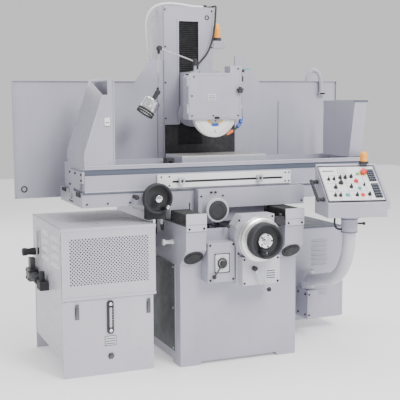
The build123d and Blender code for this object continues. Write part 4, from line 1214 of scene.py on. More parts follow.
@dataclass
class Tank:
    """Hydraulic tank: perforated hood, gauge, latches, valve block and louvers."""

    nodes: dict
    hood_low: tuple[float, float, float] = (-0.958, -0.512, 0.4)
    hood_high: tuple[float, float, float] = (-0.46, 0.145, 0.765)
    grille_x: tuple[float, float] = (-0.915, -0.5)
    grille_z: tuple[float, float] = (0.474, 0.711)
    pitch: float = 0.0088
    hole: float = 0.0041
    sheet: float = 0.002

    def build(self) -> None:
        """Builds and dresses the tank."""
        dress(self.nodes, Finish.LIGHT, ["tank_body"])
        self.hood()
        self.grille()
        self.gauge()
        self.front_trim()
        self.side_parts()

    def hood(self) -> None:
        """Folded hood with a window left for the grille."""
        (x0, y0, z0), (x1, y1, z1) = self.hood_low, self.hood_high
        gx0, gx1 = self.grille_x
        gz0, gz1 = self.grille_z
        s = self.sheet
        hood = Shape()
        hood.box((x0, y0, z0), (gx0, y0 + s, z1)).box((gx1, y0, z0), (x1, y0 + s, z1))
        hood.box((gx0, y0, z0), (gx1, y0 + s, gz0)).box((gx0, y0, gz1), (gx1, y0 + s, z1))
        hood.box((x0, y0, z0), (x0 + s, y1, z1)).box((x1 - s, y0, z0), (x1, y1, z1))
        hood.box((x0, y1 - s, z0), (x1, y1, z1)).box((x0, y0, z1 - s), (x1, y1, z1))
        hood.made("tank_hood", Finish.LIGHT, "base", 0.0005, stands_for=["tank_cover"])
        rim = Shape()
        for a, b in (((x0 - 0.001, y0 - 0.003, z0), (x1 + 0.001, y0, z0 + 0.014)),
                ((x0 - 0.002, y0 - 0.002, z1 - 0.016), (x1 + 0.002, y0, z1 + 0.001))):
            rim.box(a, b)
        rim.made("tank_hood_folds", Finish.LIGHT, "base", 0.0012)

    def grille(self) -> None:
        """Perforated sheet: a rounded hole with real edges in every other cell."""
        shape = Shape()
        (x0, x1), (z0, z1) = self.grille_x, self.grille_z
        columns, rows = int((x1 - x0) / self.pitch), int((z1 - z0) / self.pitch)
        wide, tall = (x1 - x0) / columns, (z1 - z0) / rows
        y = self.hood_low[1]
        for j in range(rows):
            for i in range(columns):
                cx, cz = x0 + wide * (i + 0.5), z0 + tall * (j + 0.5)
                corners = [(cx + wide / 2 * a, cz + tall / 2 * b)
                    for a, b in ((1, 0), (1, 1), (0, 1), (-1, 1), (-1, 0), (-1, -1), (0, -1), (1, -1))]
                ring = [(cx + self.hole * math.cos(math.tau * k / 8),
                    cz + self.hole * math.sin(math.tau * k / 8)) for k in range(8)]
                bm = shape.bm
                outer = [bm.verts.new((x, y, z)) for x, z in corners]
                if (i + j) % 2:
                    bm.faces.new(outer)
                    continue
                inner = [bm.verts.new((x, y, z)) for x, z in ring]
                back = [bm.verts.new((x, y + self.sheet, z)) for x, z in ring]
                for k in range(8):
                    n = (k + 1) % 8
                    bm.faces.new((outer[k], outer[n], inner[n], inner[k]))
                    bm.faces.new((inner[k], inner[n], back[n], back[k]))
        bmesh.ops.remove_doubles(shape.bm, verts=shape.bm.verts, dist=0.00002)
        shape.made("tank_grille", Finish.LIGHT, "base", 0)
        # Painted shade: a dark sheet behind the grille, so that the holes look shaded inside.
        dark = Shape().box((x0 - 0.01, y + 0.02, z0 - 0.01), (x1 + 0.01, y + 0.024, z1 + 0.01))
        dark.made("tank_grille_shade", Finish.INK, "base", 0)

    def gauge(self) -> None:
        """Sight gauge with a glass tube, scale and end screws."""
        x, y, low, high = -0.708, -0.506, 0.213, 0.385
        plate = Shape().prism([(x - 0.017, low + 0.01), (x - 0.01, low), (x + 0.01, low),
            (x + 0.017, low + 0.01), (x + 0.017, high - 0.01), (x + 0.01, high), (x - 0.01, high),
            (x - 0.017, high - 0.01)], Along.Y, y - 0.01, y)
        plate.made("gauge_body", Finish.BLACK, "base", 0.001, stands_for=["tank_fittings"])
        glass = Shape().rod((x, y - 0.01, low + 0.035), (x, y - 0.01, high - 0.035), 0.0065)
        glass.made("gauge_glass_tube", Finish.GLASS, "base", 0)
        screws = Shape()
        for z in (low + 0.017, high - 0.017):
            screws.lathe([(0, 0.01), (-0.006, 0.01), (-0.008, 0.008)], (x, y - 0.009, z), Along.Y, 6)
        screws.made("gauge_screws", Finish.CHROME, "base", 0.0006)
        scale = Shape().ribs(7, (x + 0.009, y - 0.0108, low + 0.045), (x + 0.014, y - 0.01, low + 0.0462),
            (0, 0, 0.0135))
        scale.made("gauge_scale", Finish.WHITE, "base", 0)

    def front_trim(self) -> None:
        """Front plate screws, blank label, drain plug and the two latches."""
        y = -0.506
        label = Shape().box((-0.738, y - 0.0018, 0.15), (-0.678, y + 0.001, 0.2))
        label.made("tank_blank_plate", Finish.PLATE, "base", 0.0004)
        outline(-0.738, -0.678, 0.15, 0.2, y - 0.0024).made("tank_plate_border", Finish.INK, "base", 0)
        bars = Shape().ribs(3, (-0.732, y - 0.0026, 0.158), (-0.684, y - 0.0016, 0.162), (0, 0, 0.013))
        bars.made("tank_plate_bars", Finish.SHADE, "base", 0)
        plug = Shape().lathe([(0, 0.018), (-0.005, 0.018), (-0.005, 0.011), (-0.014, 0.011)],
            (-0.706, y, 0.095), Along.Y, 6)
        plug.made("drain_plug", Finish.IRON, "base")
        latch = Shape()
        for x in (-0.892, -0.512):
            latch.box((x, y - 0.003, 0.3), (x + 0.022, y, 0.362))
            latch.box((x + 0.004, y - 0.01, 0.316), (x + 0.018, y - 0.003, 0.374))
            latch.rod((x + 0.002, y - 0.008, 0.376), (x + 0.02, y - 0.008, 0.376), 0.003)
        latch.made("tank_latches", Finish.IRON, "base", 0.0006)
        screws = Shape()
        for x in (-0.94, -0.49):
            for z in (0.03, 0.21, 0.39):
                screws.screw((x, y, z), Along.Y, 0.0045, -0.003)
        screws.made("tank_screws", Finish.STEEL, "base", 0)

    def side_parts(self) -> None:
        """Louvers, gauge slot, valve block and knob on the left side."""
        x = self.hood_low[0]
        hoods = Shape()
        for start, end in ((-0.478, -0.33), (-0.25, -0.112)):
            for z in (0.57, 0.615, 0.66, 0.705):
                rings = []
                for y, rise in ((start, 0.1), (start + 0.012, 1.0), (end - 0.012, 1.0), (end, 0.1)):
                    out = 0.011 * rise
                    rings.append([(x + 0.0005, y, z + 0.012), (x - out * 0.6, y, z + 0.007),
                        (x - out, y, z - 0.004), (x - out, y, z - 0.008), (x + 0.0005, y, z - 0.008)])
                hoods.loft(rings)
        hoods.made("tank_louvers", Finish.WHITE, "base", 0.0006)
        window = Shape().box((x - 0.003, -0.034, 0.548), (x + 0.0005, 0.03, 0.69))
        window.made("level_window", Finish.SCREEN, "base", 0.0015)
        frame = Shape().box((x - 0.005, -0.04, 0.69), (x, 0.036, 0.697)).box((x - 0.005, -0.04, 0.541),
            (x, 0.036, 0.548))
        frame.box((x - 0.005, -0.04, 0.548), (x, -0.034, 0.69)).box((x - 0.005, 0.03, 0.548),
            (x, 0.036, 0.69))
        frame.made("level_window_frame", Finish.STEEL, "base")
        block = Shape().box((-1.01, 0.03, 0.402), (x, 0.12, 0.47))
        block.box((-0.998, 0.05, 0.47), (-0.968, 0.104, 0.53))
        block.made("valve_manifold", Finish.IRON, "base", 0.002)
        dark = Shape().lathe([(0, 0.024), (0.006, 0.026), (0.14, 0.026), (0.15, 0.022)],
            (-0.984, -0.12, 0.436), Along.Y, 48)
        dark.lathe([(0, 0.02), (-0.012, 0.021), (-0.04, 0.018), (-0.055, 0.022), (-0.07, 0.022),
            (-0.072, 0.019)], (x, 0.1, 0.56), Along.X, 40)
        dark.made("valve_solenoid", Finish.BLACK, "base", 0.0006)
        elbow = Shape().box((-1.006, -0.23, 0.402), (x, -0.15, 0.448))
        elbow.rod((-0.985, -0.19, 0.448), (-0.985, -0.19, 0.5), 0.014)
        elbow.made("valve_connector", Finish.BLACK, "base", 0.0015)
        bolts = Shape()
        for y in (0.045, 0.105):
            for z in (0.415, 0.457):
                bolts.screw((-1.01, y, z), Along.X, 0.005, -0.004)
        bolts.made("valve_bolts", Finish.SCREW, "base", 0)


@dataclass
class Column:
    """Column, its front cover, slot bellows, beacon and conduit."""

    nodes: dict
    front: float = 0.165
    slot: float = 0.062
    pleats: int = 26

    def build(self) -> None:
        """Builds and dresses the column."""
        dress(self.nodes, Finish.TURNED, ["elevating_screw"])
        self.bellows()
        self.cover_trim()
        self.lower_cover()
        self.beacon_box()
        Beacon("base", (0.206, 0.22), 1.752, 0.024, 0.106).build()
        route = [(-0.182, 0.345, 1.42), (-0.182, 0.345, 1.54), (-0.188, 0.347, 1.66), (-0.2, 0.346, 1.78),
            (-0.206, 0.342, 1.88), (-0.168, 0.332, 1.952), (-0.1, 0.318, 1.976), (-0.02, 0.298, 1.974),
            (0.05, 0.278, 1.962), (0.09, 0.27, 1.957), (0.138, 0.27, 1.957)]
        loop = hose_line("column_conduit", route, 0.008, Finish.WHITE, "base")
        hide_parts("conduits")
        ends = Shape()
        ends.lathe([(0, 0.014), (0.02, 0.014), (0.024, 0.01)], (-0.182, 0.345, 1.398), Along.Z, 6)
        ends.box((-0.19, 0.332, 1.408), (-0.15, 0.358, 1.42))
        ends.box((0.138, 0.258, 1.944), (0.158, 0.282, 1.969))
        ends.made("conduit_glands", Finish.BLACK, "base", 0.001)
        self.head_cable()
        self.tank_lines()

    def bellows(self) -> None:
        """Pleated cover in the column's slot, left on no body."""
        low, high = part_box("column_bellows")
        rings = []
        for i in range(2 * self.pleats + 1):
            z = low.z + (high.z - low.z) * i / (2 * self.pleats)
            y = low.y + (0.007 if i % 2 else 0.0)
            rings.append([(low.x, y, z), (high.x, y, z), (high.x, y + 0.0015, z), (low.x, y + 0.0015, z)])
        piece = Shape().loft(rings).made("column_slot_bellows", Finish.RUBBER, None, 0)
        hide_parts("column_bellows")
        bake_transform(piece)

    def cover_trim(self) -> None:
        """Slot lips, screws, a lifting-eye hole and its rubber ring."""
        lips = Shape()
        for side in (-1, 1):
            lips.box(*sorted_box((side * self.slot, self.front - 0.003, 1.254),
                (side * (self.slot + 0.012), self.front, 1.86)))
        lips.box((-self.slot - 0.012, self.front - 0.003, 1.86), (self.slot + 0.012, self.front, 1.872))
        lips.made("slot_lips", Finish.ENAMEL, "base")
        screws = Shape()
        for side in (-1, 1):
            for z in (1.29, 1.5, 1.71, 1.925):
                screws.screw((side * 0.148, self.front, z), Along.Y, 0.005, -0.004)
        screws.made("column_cover_screws", Finish.SCREW, "base", 0)
        ring = Shape().lathe([(0, 0.009), (0, 0.014), (-0.003, 0.014), (-0.004, 0.011), (-0.004, 0.009),
            (0, 0.009)], (0.118, self.front, 1.885), Along.Y, 32)
        ring.made("cover_grommet", Finish.RUBBER, "base", 0)

    def lower_cover(self) -> None:
        """Black rubber sheet screwed to the column's face below the slot, standing for the bellows below
        the head and for painted shade under the head.
        """
        # Partly painted shade: the black sheet also darkens what shows through the curtain's notch under
        # the head.
        sheet = Shape().box((-0.146, 0.2925, 1.03), (0.146, 0.2952, 1.2535))
        for x in (-0.138, 0.138):
            for z in (1.045, 1.24):
                sheet.screw((x, 0.2925, z), Along.Y, 0.0045, -0.002)
        sheet.made("column_lower_bellows_shade", Finish.RUBBER, "base", 0.0006)

    def beacon_box(self) -> None:
        """Folded bracket and junction box under the column's beacon."""
        shape = Shape().box((0.16, 0.182, 1.705), (0.245, 0.258, 1.708)).box((0.16, 0.182, 1.66),
            (0.163, 0.258, 1.752))
        shape.box((0.168, 0.184, 1.708), (0.243, 0.256, 1.752))
        shape.made("beacon_box", Finish.ENAMEL, "base", 0.001, stands_for=["column_beacon"])
        screws = Shape()
        for x in (0.176, 0.235):
            for z in (1.715, 1.745):
                screws.screw((x, 0.184, z), Along.Y, 0.0028, -0.002)
        screws.made("beacon_box_screws", Finish.STEEL, "base", 0)

    def head_cable(self) -> None:
        """The black cable from the column's top down to the head."""
        route = [(0.158, 0.27, 1.957), (0.186, 0.27, 1.957), (0.2, 0.236, 1.962), (0.186, 0.184, 1.956),
            (0.168, 0.15, 1.912), (0.16, 0.138, 1.85), (0.146, 0.13, 1.78), (0.124, 0.122, 1.715),
            (0.092, 0.112, 1.662), (0.056, 0.102, 1.63), (0.032, 0.097, 1.606), (0.026, 0.096, 1.59),
            (0.026, 0.096, 1.576)]
        cable = hose_line("head_supply_cable", route, 0.006, Finish.RUBBER, None)
        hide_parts("head_cable")
        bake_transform(cable)

    def tank_lines(self) -> None:
        """Three hydraulic lines from the tank to the base, with hex unions."""
        lines, unions = Shape(), Shape()
        for z in (0.57, 0.598, 0.626):
            y = z - 0.6
            lines.rod((-0.46, y, z), (-0.34, y, z), 0.0098)
            for x in (-0.46, -0.36):
                unions.lathe([(0, 0.0128), (0.02, 0.0128)], (x, y, z), Along.X, 6)
        lines.made("hydraulic_lines", Finish.RUBBER, "base", 0)
        unions.made("hydraulic_unions", Finish.STEEL, "base", 0.0006)


def sorted_box(a: Point, b: Point) -> tuple[tuple[float, ...], tuple[float, ...]]:
    """Two corners put in low and high order."""
    return tuple(map(min, a, b)), tuple(map(max, a, b))


@dataclass
class Saddle:
    """Saddle trim, reversing valve, table handwheel, splash guard and curtain."""

    nodes: dict
    front: float = -0.4
    block_front: float = -0.455
    valve: tuple[float, float] = (-0.103, 0.815)
    wheel: tuple[float, float, float] = (-0.433, 0.891, 0.08)
    guard_y: float = 0.15

    def build(self) -> None:
        """Builds and dresses the saddle."""
        dress(self.nodes, Finish.STEEL, ["hydraulic_cylinder"])
        self.valve_parts()
        self.lever()
        self.handwheel()
        self.hoses()
        self.trim()
        self.guard_trim()
        self.curtain()

    def valve_parts(self) -> None:
        """Reversing valve boss, its disc and the pins beside it."""
        x, z = self.valve
        y = self.block_front
        boss = Shape().lathe([(0, 0.07), (-0.008, 0.07), (-0.008, 0.044), (-0.0225, 0.044),
            (-0.0225, 0.066), (-0.041, 0.066), (-0.045, 0.062)], (x, y, z), Along.Y, 80)
        boss.made("valve_boss", Finish.LIGHT, "saddle", stands_for=["saddle_valves"])
        disc = Shape().lathe([(-0.044, 0.053), (-0.049, 0.052), (-0.05, 0.05), (-0.05, 0.03),
            (-0.048, 0.028)], (x, y, z), Along.Y, 64)
        disc.made("valve_disc", Finish.BLACK, "saddle", 0.0005)
        pins = Shape()
        for px in (-0.124, -0.1):
            pins.lathe([(0, 0.0055), (-0.012, 0.0055), (-0.014, 0.004)], (px, y, 0.908), Along.Y, 20)
        for i in range(3):
            angle = math.tau * (i + 0.2) / 3
            pins.screw((x + 0.038 * math.sin(angle), y - 0.048, z + 0.038 * math.cos(angle)), Along.Y,
                0.004, -0.003)
        pins.made("valve_pins", Finish.SCREW, "saddle", 0, slot="ground_steel")
        block = Shape().box((-0.484, -0.446, 0.778), (-0.376, -0.4, 0.848))
        block.made("lubrication_block", Finish.BLACK, "saddle", 0.003)

    def lever(self) -> None:
        """Reversing lever: ring, cranked rod and ball."""
        x, z = self.valve
        y = self.block_front - 0.015
        ring = Shape().tube((-0.006, 0.006), (0.0442, 0.059), (x, y, z), Along.Y, 64)
        root, knee = (x + 0.008, y, z - 0.056), (x + 0.012, y - 0.003, z - 0.076)
        ball = (x + 0.017, self.block_front - 0.14, z - 0.074)
        ring.rod(root, knee, 0.0062).ball(knee, 0.0065).rod(knee, ball, 0.0055, 0.0045)
        ring.made("reversing_ring", Finish.BLACK, "reverser", 0.0004, stands_for=["reversing_lever"])
        Shape().ball(ball, 0.0095).made("reversing_ball", Finish.BLACK, "reverser", 0)

    def handwheel(self) -> None:
        """Table handwheel with its chrome hub, crank handle and clutch knob."""
        x, z, r = self.wheel
        profile = [(0.04, 0.022), (0.04, 0.05), (0.036, 0.062), (0.012, 0.066), (0.004, 0.068),
            (0.0, 0.073), (0.002, 0.078), (0.01, r), (0.032, r), (0.038, 0.077), (0.04, 0.072),
            (0.044, 0.06), (0.048, 0.022), (0.04, 0.022)]
        wheel = Shape().lathe(profile, (x, -0.492, z), Along.Y, 80)
        wheel.made("table_wheel_rim", Finish.BLACK, "table_wheel", 0.0005, stands_for=["table_handwheel"])
        hub = Shape().lathe([(0.14, 0.0098), (0.05, 0.0098), (0.05, 0.0235), (0.03, 0.025),
            (0.012, 0.022), (0.0, 0.0215), (-0.006, 0.018), (-0.008, 0.012)], (x, -0.492, z), Along.Y, 48)
        hub.made("table_wheel_hub", Finish.CHROME, "table_wheel", 0.0005)
        crank = Shape().lathe([(0, 0.008), (-0.012, 0.0095), (-0.03, 0.0085), (-0.07, 0.0118),
            (-0.082, 0.0105), (-0.086, 0.006)], (x + 0.034, -0.4625, z - 0.04), Along.Y, 32)
        crank.made("table_wheel_crank", Finish.CHROME, "table_wheel", 0.0004)
        clutch = Shape().rod((x - 0.105, self.front, z + 0.008),
            (x - 0.105, self.front - 0.04, z + 0.008), 0.01)
        clutch.ball((x - 0.105, self.front - 0.046, z + 0.008), 0.014)
        clutch.made("clutch_knob", Finish.BLACK, "saddle", 0.0005)
        plate = Shape().lathe([(0.001, 0.0342), (0.001, 0.042), (-0.006, 0.042), (-0.008, 0.04),
            (-0.008, 0.0342), (0.001, 0.0342)], (x, self.front, z), Along.Y, 56)
        plate.made("wheel_bearing_plate", Finish.ENAMEL, "saddle", 0.0005)

    def hoses(self) -> None:
        """Two hoses hung under the wing, with silver unions."""
        routes = {"saddle_hose_rear": ([(-0.44, -0.425, 0.778), (-0.44, -0.425, 0.74),
            (-0.433, -0.412, 0.704), (-0.418, -0.384, 0.688), (-0.402, -0.35, 0.7),
            (-0.393, -0.326, 0.74), (-0.39, -0.318, 0.796), (-0.39, -0.318, 0.85)], 0.008),
            "saddle_hose_front": ([(-0.398, -0.43, 0.778), (-0.398, -0.43, 0.748), (-0.39, -0.418, 0.722),
            (-0.38, -0.396, 0.714), (-0.371, -0.372, 0.728), (-0.366, -0.357, 0.764),
            (-0.365, -0.352, 0.808), (-0.365, -0.352, 0.85)], 0.007),}
        unions = Shape()
        for name, (route, radius) in routes.items():
            piece = hose_line(name, route, radius, Finish.RUBBER, "saddle")
            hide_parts("saddle_hoses")
            x, y, z = route[0]
            unions.lathe([(0.002, radius + 0.005), (-0.016, radius + 0.005), (-0.016, radius + 0.002),
                (-0.028, radius + 0.002)], (x, y, z), Along.Z, 6)
        unions.made("saddle_unions", Finish.CHROME, "saddle", 0.0005)

    def trim(self) -> None:
        """Screws, way wipers and a painted shadow line under the table on the saddle's front."""
        screws = Shape()
        for x, z in ((-0.18, 0.888), (-0.055, 0.888), (0.425, 0.84)):
            screws.screw((x, self.block_front, z), Along.Y, 0.005, -0.004)
        for side in (-1, 1):
            for x in (0.56, 0.68, 0.79):
                screws.screw((side * x, self.front, 0.868), Along.Y, 0.005, -0.004)
        screws.made("saddle_screws", Finish.SCREW, "saddle", 0)
        # Painted shadow: a dark strip in the gap between the table and the saddle.
        lip = Shape()
        lip.box((-0.815, self.front - 0.004, 0.9175), (0.815, self.front, 0.9245))
        lip.made("saddle_gap_shadow", Finish.SHADE, "saddle", 0.001)
        wipers = Shape()
        for side in (-1, 1):
            wipers.box(*sorted_box((side * 0.815, -0.37, 0.902), (side * 0.821, -0.29, 0.925)))
            wipers.box(*sorted_box((side * 0.815, -0.07, 0.906), (side * 0.821, 0.01, 0.925)))
        wipers.made("saddle_wipers", Finish.RUBBER, "saddle", 0.001)

    def guard_trim(self) -> None:
        """Folded edges, seams, bolts and a grommet on the rear splash guard."""
        y = self.guard_y
        folds = Shape()
        folds.box((-1.054, y - 0.012, 0.853), (-1.051, y, 1.508))
        folds.box((-1.054, y - 0.012, 1.505), (-0.342, y, 1.508))
        folds.box((-0.166, y - 0.01, 1.056), (-0.163, y, 1.631))
        folds.box((0.292, y - 0.01, 1.056), (0.295, y, 1.66))
        folds.box((1.001, y - 0.012, 0.853), (1.004, y, 1.514))
        folds.box((0.462, y - 0.012, 1.511), (1.004, y, 1.514))
        folds.made("guard_folds", Finish.ENAMEL, "saddle")
        seams = Shape()
        seams.box((-0.206, y - 0.0015, 0.86), (-0.203, y + 0.0005, 1.56))
        seams.box((0.59, y - 0.0012, 1.06), (0.594, y + 0.0005, 1.39))
        seams.made("guard_seams", Finish.SHADE, "saddle", 0)
        bolts = Shape()
        for x in (-0.53, 0.53):
            for z in (0.88, 0.9):
                bolts.screw((x, y, z), Along.Y, 0.006, -0.004)
        for z in (1.1, 1.25, 1.4, 1.52):
            bolts.screw((-0.185, y, z), Along.Y, 0.0045, -0.003)
            bolts.screw((0.315, y, z), Along.Y, 0.0045, -0.003)
        for x in (-1.02, -0.7, 0.7, 0.97):
            bolts.screw((x, y, 1.48), Along.Y, 0.0045, -0.003)
        bolts.made("guard_bolts", Finish.STEEL, "saddle", 0)
        hole = Shape().tube((0, -0.003), (0.012, 0.018), (-1.0, y, 0.905), Along.Y, 32)
        hole.made("guard_grommet", Finish.RUBBER, "saddle", 0)

    def curtain(self) -> None:
        """Rubber curtain with a notch for the head, gently waved."""
        low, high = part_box("splash_curtain")
        columns, rows = 60, 14
        shape = Shape()
        middle, hem = (low.y + high.y) / 2, 0.0011
        grid = {}
        for side in (-1, 1):
            for i in range(columns + 1):
                x = low.x + (high.x - low.x) * i / columns
                for j in range(rows + 1):
                    z = low.z + (high.z - low.z) * j / rows
                    wave = 0.0004 * math.sin(x * 46) * (1 - j / rows)
                    grid[side, i, j] = shape.bm.verts.new((x, middle + side * hem + wave, z))
        cell = {}
        for i in range(columns):
            for j in range(rows):
                x = low.x + (high.x - low.x) * (i + 0.5) / columns
                z = low.z + (high.z - low.z) * (j + 0.5) / rows
                cell[i, j] = not (abs(x) < 0.082 and z > 1.14)
        for (i, j), kept in cell.items():
            if not kept:
                continue
            for side in (-1, 1):
                shape.bm.faces.new([grid[side, a, b] for a, b in ((i, j), (i + 1, j), (i + 1, j + 1),
                    (i, j + 1))])
            for (a, b), (c, d), beside in (((i, j), (i + 1, j), (i, j - 1)),
                    ((i + 1, j), (i + 1, j + 1), (i + 1, j)), ((i + 1, j + 1), (i, j + 1), (i, j + 1)),
                    ((i, j + 1), (i, j), (i - 1, j))):
                if not cell.get(beside, False):
                    shape.bm.faces.new([grid[-1, a, b], grid[-1, c, d], grid[1, c, d], grid[1, a, b]])
        loose = [vertex for vertex in shape.bm.verts if not vertex.link_faces]
        bmesh.ops.delete(shape.bm, geom=loose, context="VERTS")
        piece = shape.made("curtain_sheet", Finish.RUBBER, "saddle", 0, stands_for=["splash_curtain"])
        strip = Shape().box((0.083, self.guard_y - 0.006, 1.232), (0.288, self.guard_y - 0.0036, 1.244))
        strip.box((-0.16, self.guard_y - 0.006, 1.232), (-0.083, self.guard_y - 0.0036, 1.244))
        strip.made("curtain_strip", Finish.RUBBER, "saddle", 0.0005)


@dataclass
class Table:
    """Table, its strip, dog rail, chuck and end guards."""

    nodes: dict
    x0: float = -0.8
    x1: float = 0.89
    front: float = -0.4
    laminations: int = 26

    def build(self) -> None:
        """Builds and dresses the table."""
        dress(self.nodes, Finish.CHROME, ["piston_rod"])
        dress(self.nodes, Finish.WHITE, ["dog_rail"])
        dress(self.nodes, Finish.STEEL, ["left_trip_dog", "right_trip_dog"])
        self.face_trim()
        self.rail_trim()
        self.dogs()
        self.chuck()
        self.guard_trim()
        self.ends()

    def face_trim(self) -> None:
        """Painted shade in the blue-grey recess strip, and painted highlights on the rim's folds, along
        the table's front.
        """
        # Painted shade: a dark strip set back in the recess under the rim, where shade falls.
        strip = Shape().box((self.x0 + 0.002, self.front + 0.0065, 1.015),
            (self.x1 - 0.002, self.front + 0.0085, 1.043))
        strip.made("table_recess_shade", Finish.SHADE, "table", 0.0005)
        # Painted highlights: lighter strips along the rim's top fold and the table's lower edge.
        fold = Shape().box((self.x0, self.front - 0.003, 1.06), (self.x1, self.front + 0.008, 1.0655))
        fold.box((self.x0, self.front - 0.002, 0.928), (self.x1, self.front, 0.934))
        fold.made("table_fold_highlights", Finish.LIGHT, "table", 0.0012)
        lines = Shape()
        lines.box((self.x0 + 0.01, -0.331, 1.0292), (self.x1 - 0.01, -0.325, 1.0306))
        lines.box((self.x0 + 0.01, -0.055, 1.0292), (self.x1 - 0.01, -0.049, 1.0306))
        lines.made("table_top_edges", Finish.STEEL, "table", 0)

    def rail_trim(self) -> None:
        """Painted shade in the dog rail's slot, and the rail's screws."""
        low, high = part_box("dog_rail")
        # Painted shade: a dark strip inside the dog rail's slot.
        slot = Shape().box((-0.326, low.y + 0.0085, 0.9625), (0.328, low.y + 0.0094, 0.9735))
        slot.made("rail_slot_shade", Finish.INK, "table", 0)
        screws = Shape()
        for x in (-0.39, -0.345, 0.345, 0.368):
            for z in (0.948, 0.996):
                screws.screw((x, low.y, z), Along.Y, 0.0045, -0.003)
        screws.made("rail_screws", Finish.SCREW, "table", 0)

    def dogs(self) -> None:
        """Clamp knobs on the two trip dogs."""
        for body, x in (("left_dog", -0.28), ("right_dog", 0.18)):
            knob = Shape().lathe([(0.012, 0.008), (0, 0.0085), (-0.003, 0.01), (-0.006, 0.0085)],
                (x, -0.43, 0.972), Along.Y, 24)
            knob.made(f"{body}_knob", Finish.BLACK, body, 0.0004)

    def chuck(self) -> None:
        """Magnetic chuck with pole lines, ears, clamps and connector."""
        low, high = Vector((-0.234, -0.317, 1.03)), Vector((0.274, -0.063, 1.096))
        body = Shape().box(low, (high.x, high.y, high.z - 0.012))
        body.made("chuck_body", Finish.ENAMEL, "table", 0.0015, slot="ground_steel",
            stands_for=["magnetic_chuck"])
        plate = Shape().box((low.x, low.y, high.z - 0.0118), (high.x, high.y, high.z - 0.0006))
        plate.made("chuck_plate", Finish.STEEL, "table", 0.001)
        poles = Shape()
        step = (high.x - low.x - 0.04) / self.laminations
        for i in range(self.laminations + 1):
            x = low.x + 0.02 + step * i
            poles.box((x - 0.0012, low.y + 0.016, high.z - 0.002), (x + 0.0012, high.y - 0.016, high.z))
        poles.made("chuck_poles", Finish.BRASS, "table", 0)
        ears = Shape()
        for x in (low.x - 0.04, high.x):
            ears.box((x, -0.24, 1.03), (x + 0.04, -0.14, 1.052))
        ears.made("chuck_ears", Finish.IRON, "table", 0.002)
        bolts = Shape()
        for x in (low.x - 0.02, high.x + 0.02):
            for y in (-0.215, -0.165):
                bolts.screw((x, y, 1.052), Along.Z, 0.008, 0.01)
        for x in (-0.2, -0.08, 0.04, 0.16, 0.25):
            bolts.screw((x, low.y, 1.056), Along.Y, 0.0045, -0.0035)
        bolts.made("chuck_bolts", Finish.SCREW, "table", 0)
        plug = Shape().box((-0.32, -0.306, 1.03), (-0.274, -0.25, 1.088))
        plug.lathe([(0, 0.014), (0.016, 0.012), (0.026, 0.008)], (-0.297, -0.306, 1.06), Along.Y, 28)
        plug.made("chuck_connector", Finish.BLACK, "table", 0.003)

    def guard_trim(self) -> None:
        """Painted shadow under the right guard's top lip, painted highlights on the left guard's edges,
        bolts and a bordered blank label on the end guards.
        """
        # Painted shadow: dark strips under the right guard's top flange.
        lips = Shape()
        lips.box((0.8, -0.4, 1.383), (0.889, -0.392, 1.3935)).box((0.884, -0.396, 1.386),
            (0.889, -0.044, 1.3935))
        lips.made("right_guard_lip_shadow", Finish.SHADE, "table", 0.001)
        # Painted highlights: lighter rods along the left guard's slanted and upright edges.
        rim = Shape()
        rim.rod((-0.797, -0.4, 1.131), (-0.698, -0.4, 1.426), 0.003)
        rim.rod((-0.64, -0.399, 1.066), (-0.64, -0.399, 1.508), 0.0026)
        rim.made("left_guard_edge_highlight", Finish.LIGHT, "table", 0)
        label = Shape().box((-0.695, -0.3995, 1.262), (-0.655, -0.396, 1.318))
        label.made("guard_label", Finish.WHITE, "table", 0.0004)
        bars = Shape().box((-0.693, -0.4003, 1.312), (-0.657, -0.399, 1.316))
        bars.box((-0.693, -0.4003, 1.264), (-0.657, -0.399, 1.268)).box((-0.693, -0.4003, 1.268),
            (-0.6905, -0.399, 1.312))
        bars.box((-0.6595, -0.4003, 1.268), (-0.657, -0.399, 1.312)).box((-0.684, -0.4003, 1.282),
            (-0.666, -0.399, 1.286))
        bars.made("guard_label_border", Finish.SHADE, "table", 0)
        bolts = Shape()
        for y in (-0.36, -0.22, -0.08):
            bolts.screw((-0.8, y, 1.08), Along.X, 0.005, -0.004)
            bolts.screw((0.886, y, 1.08), Along.X, 0.005, 0.004)
        bolts.screw((-0.66, -0.397, 1.085), Along.Y, 0.005, -0.004)
        bolts.screw((-0.78, -0.397, 1.085), Along.Y, 0.005, -0.004)
        bolts.made("guard_bolts_table", Finish.STEEL, "table", 0)

    def ends(self) -> None:
        """Bolts and rod nuts on the two end brackets."""
        shape, nuts = Shape(), Shape()
        for x, out in ((self.x0 - 0.012, -1), (self.x1 + 0.012, 1)):
            for y, z in ((-0.38, 1.02), (-0.38, 0.99), (-0.26, 1.02), (-0.15, 1.02), (-0.15, 0.955)):
                shape.screw((x, y, z), Along.X, 0.006, out * 0.005)
            nuts.tube((0, out * 0.01), (0.0112, 0.0185), (x, -0.17, 0.893), Along.X, 6)
        shape.made("bracket_bolts", Finish.SCREW, "table", 0)
        nuts.made("rod_nuts", Finish.STEEL, "table")


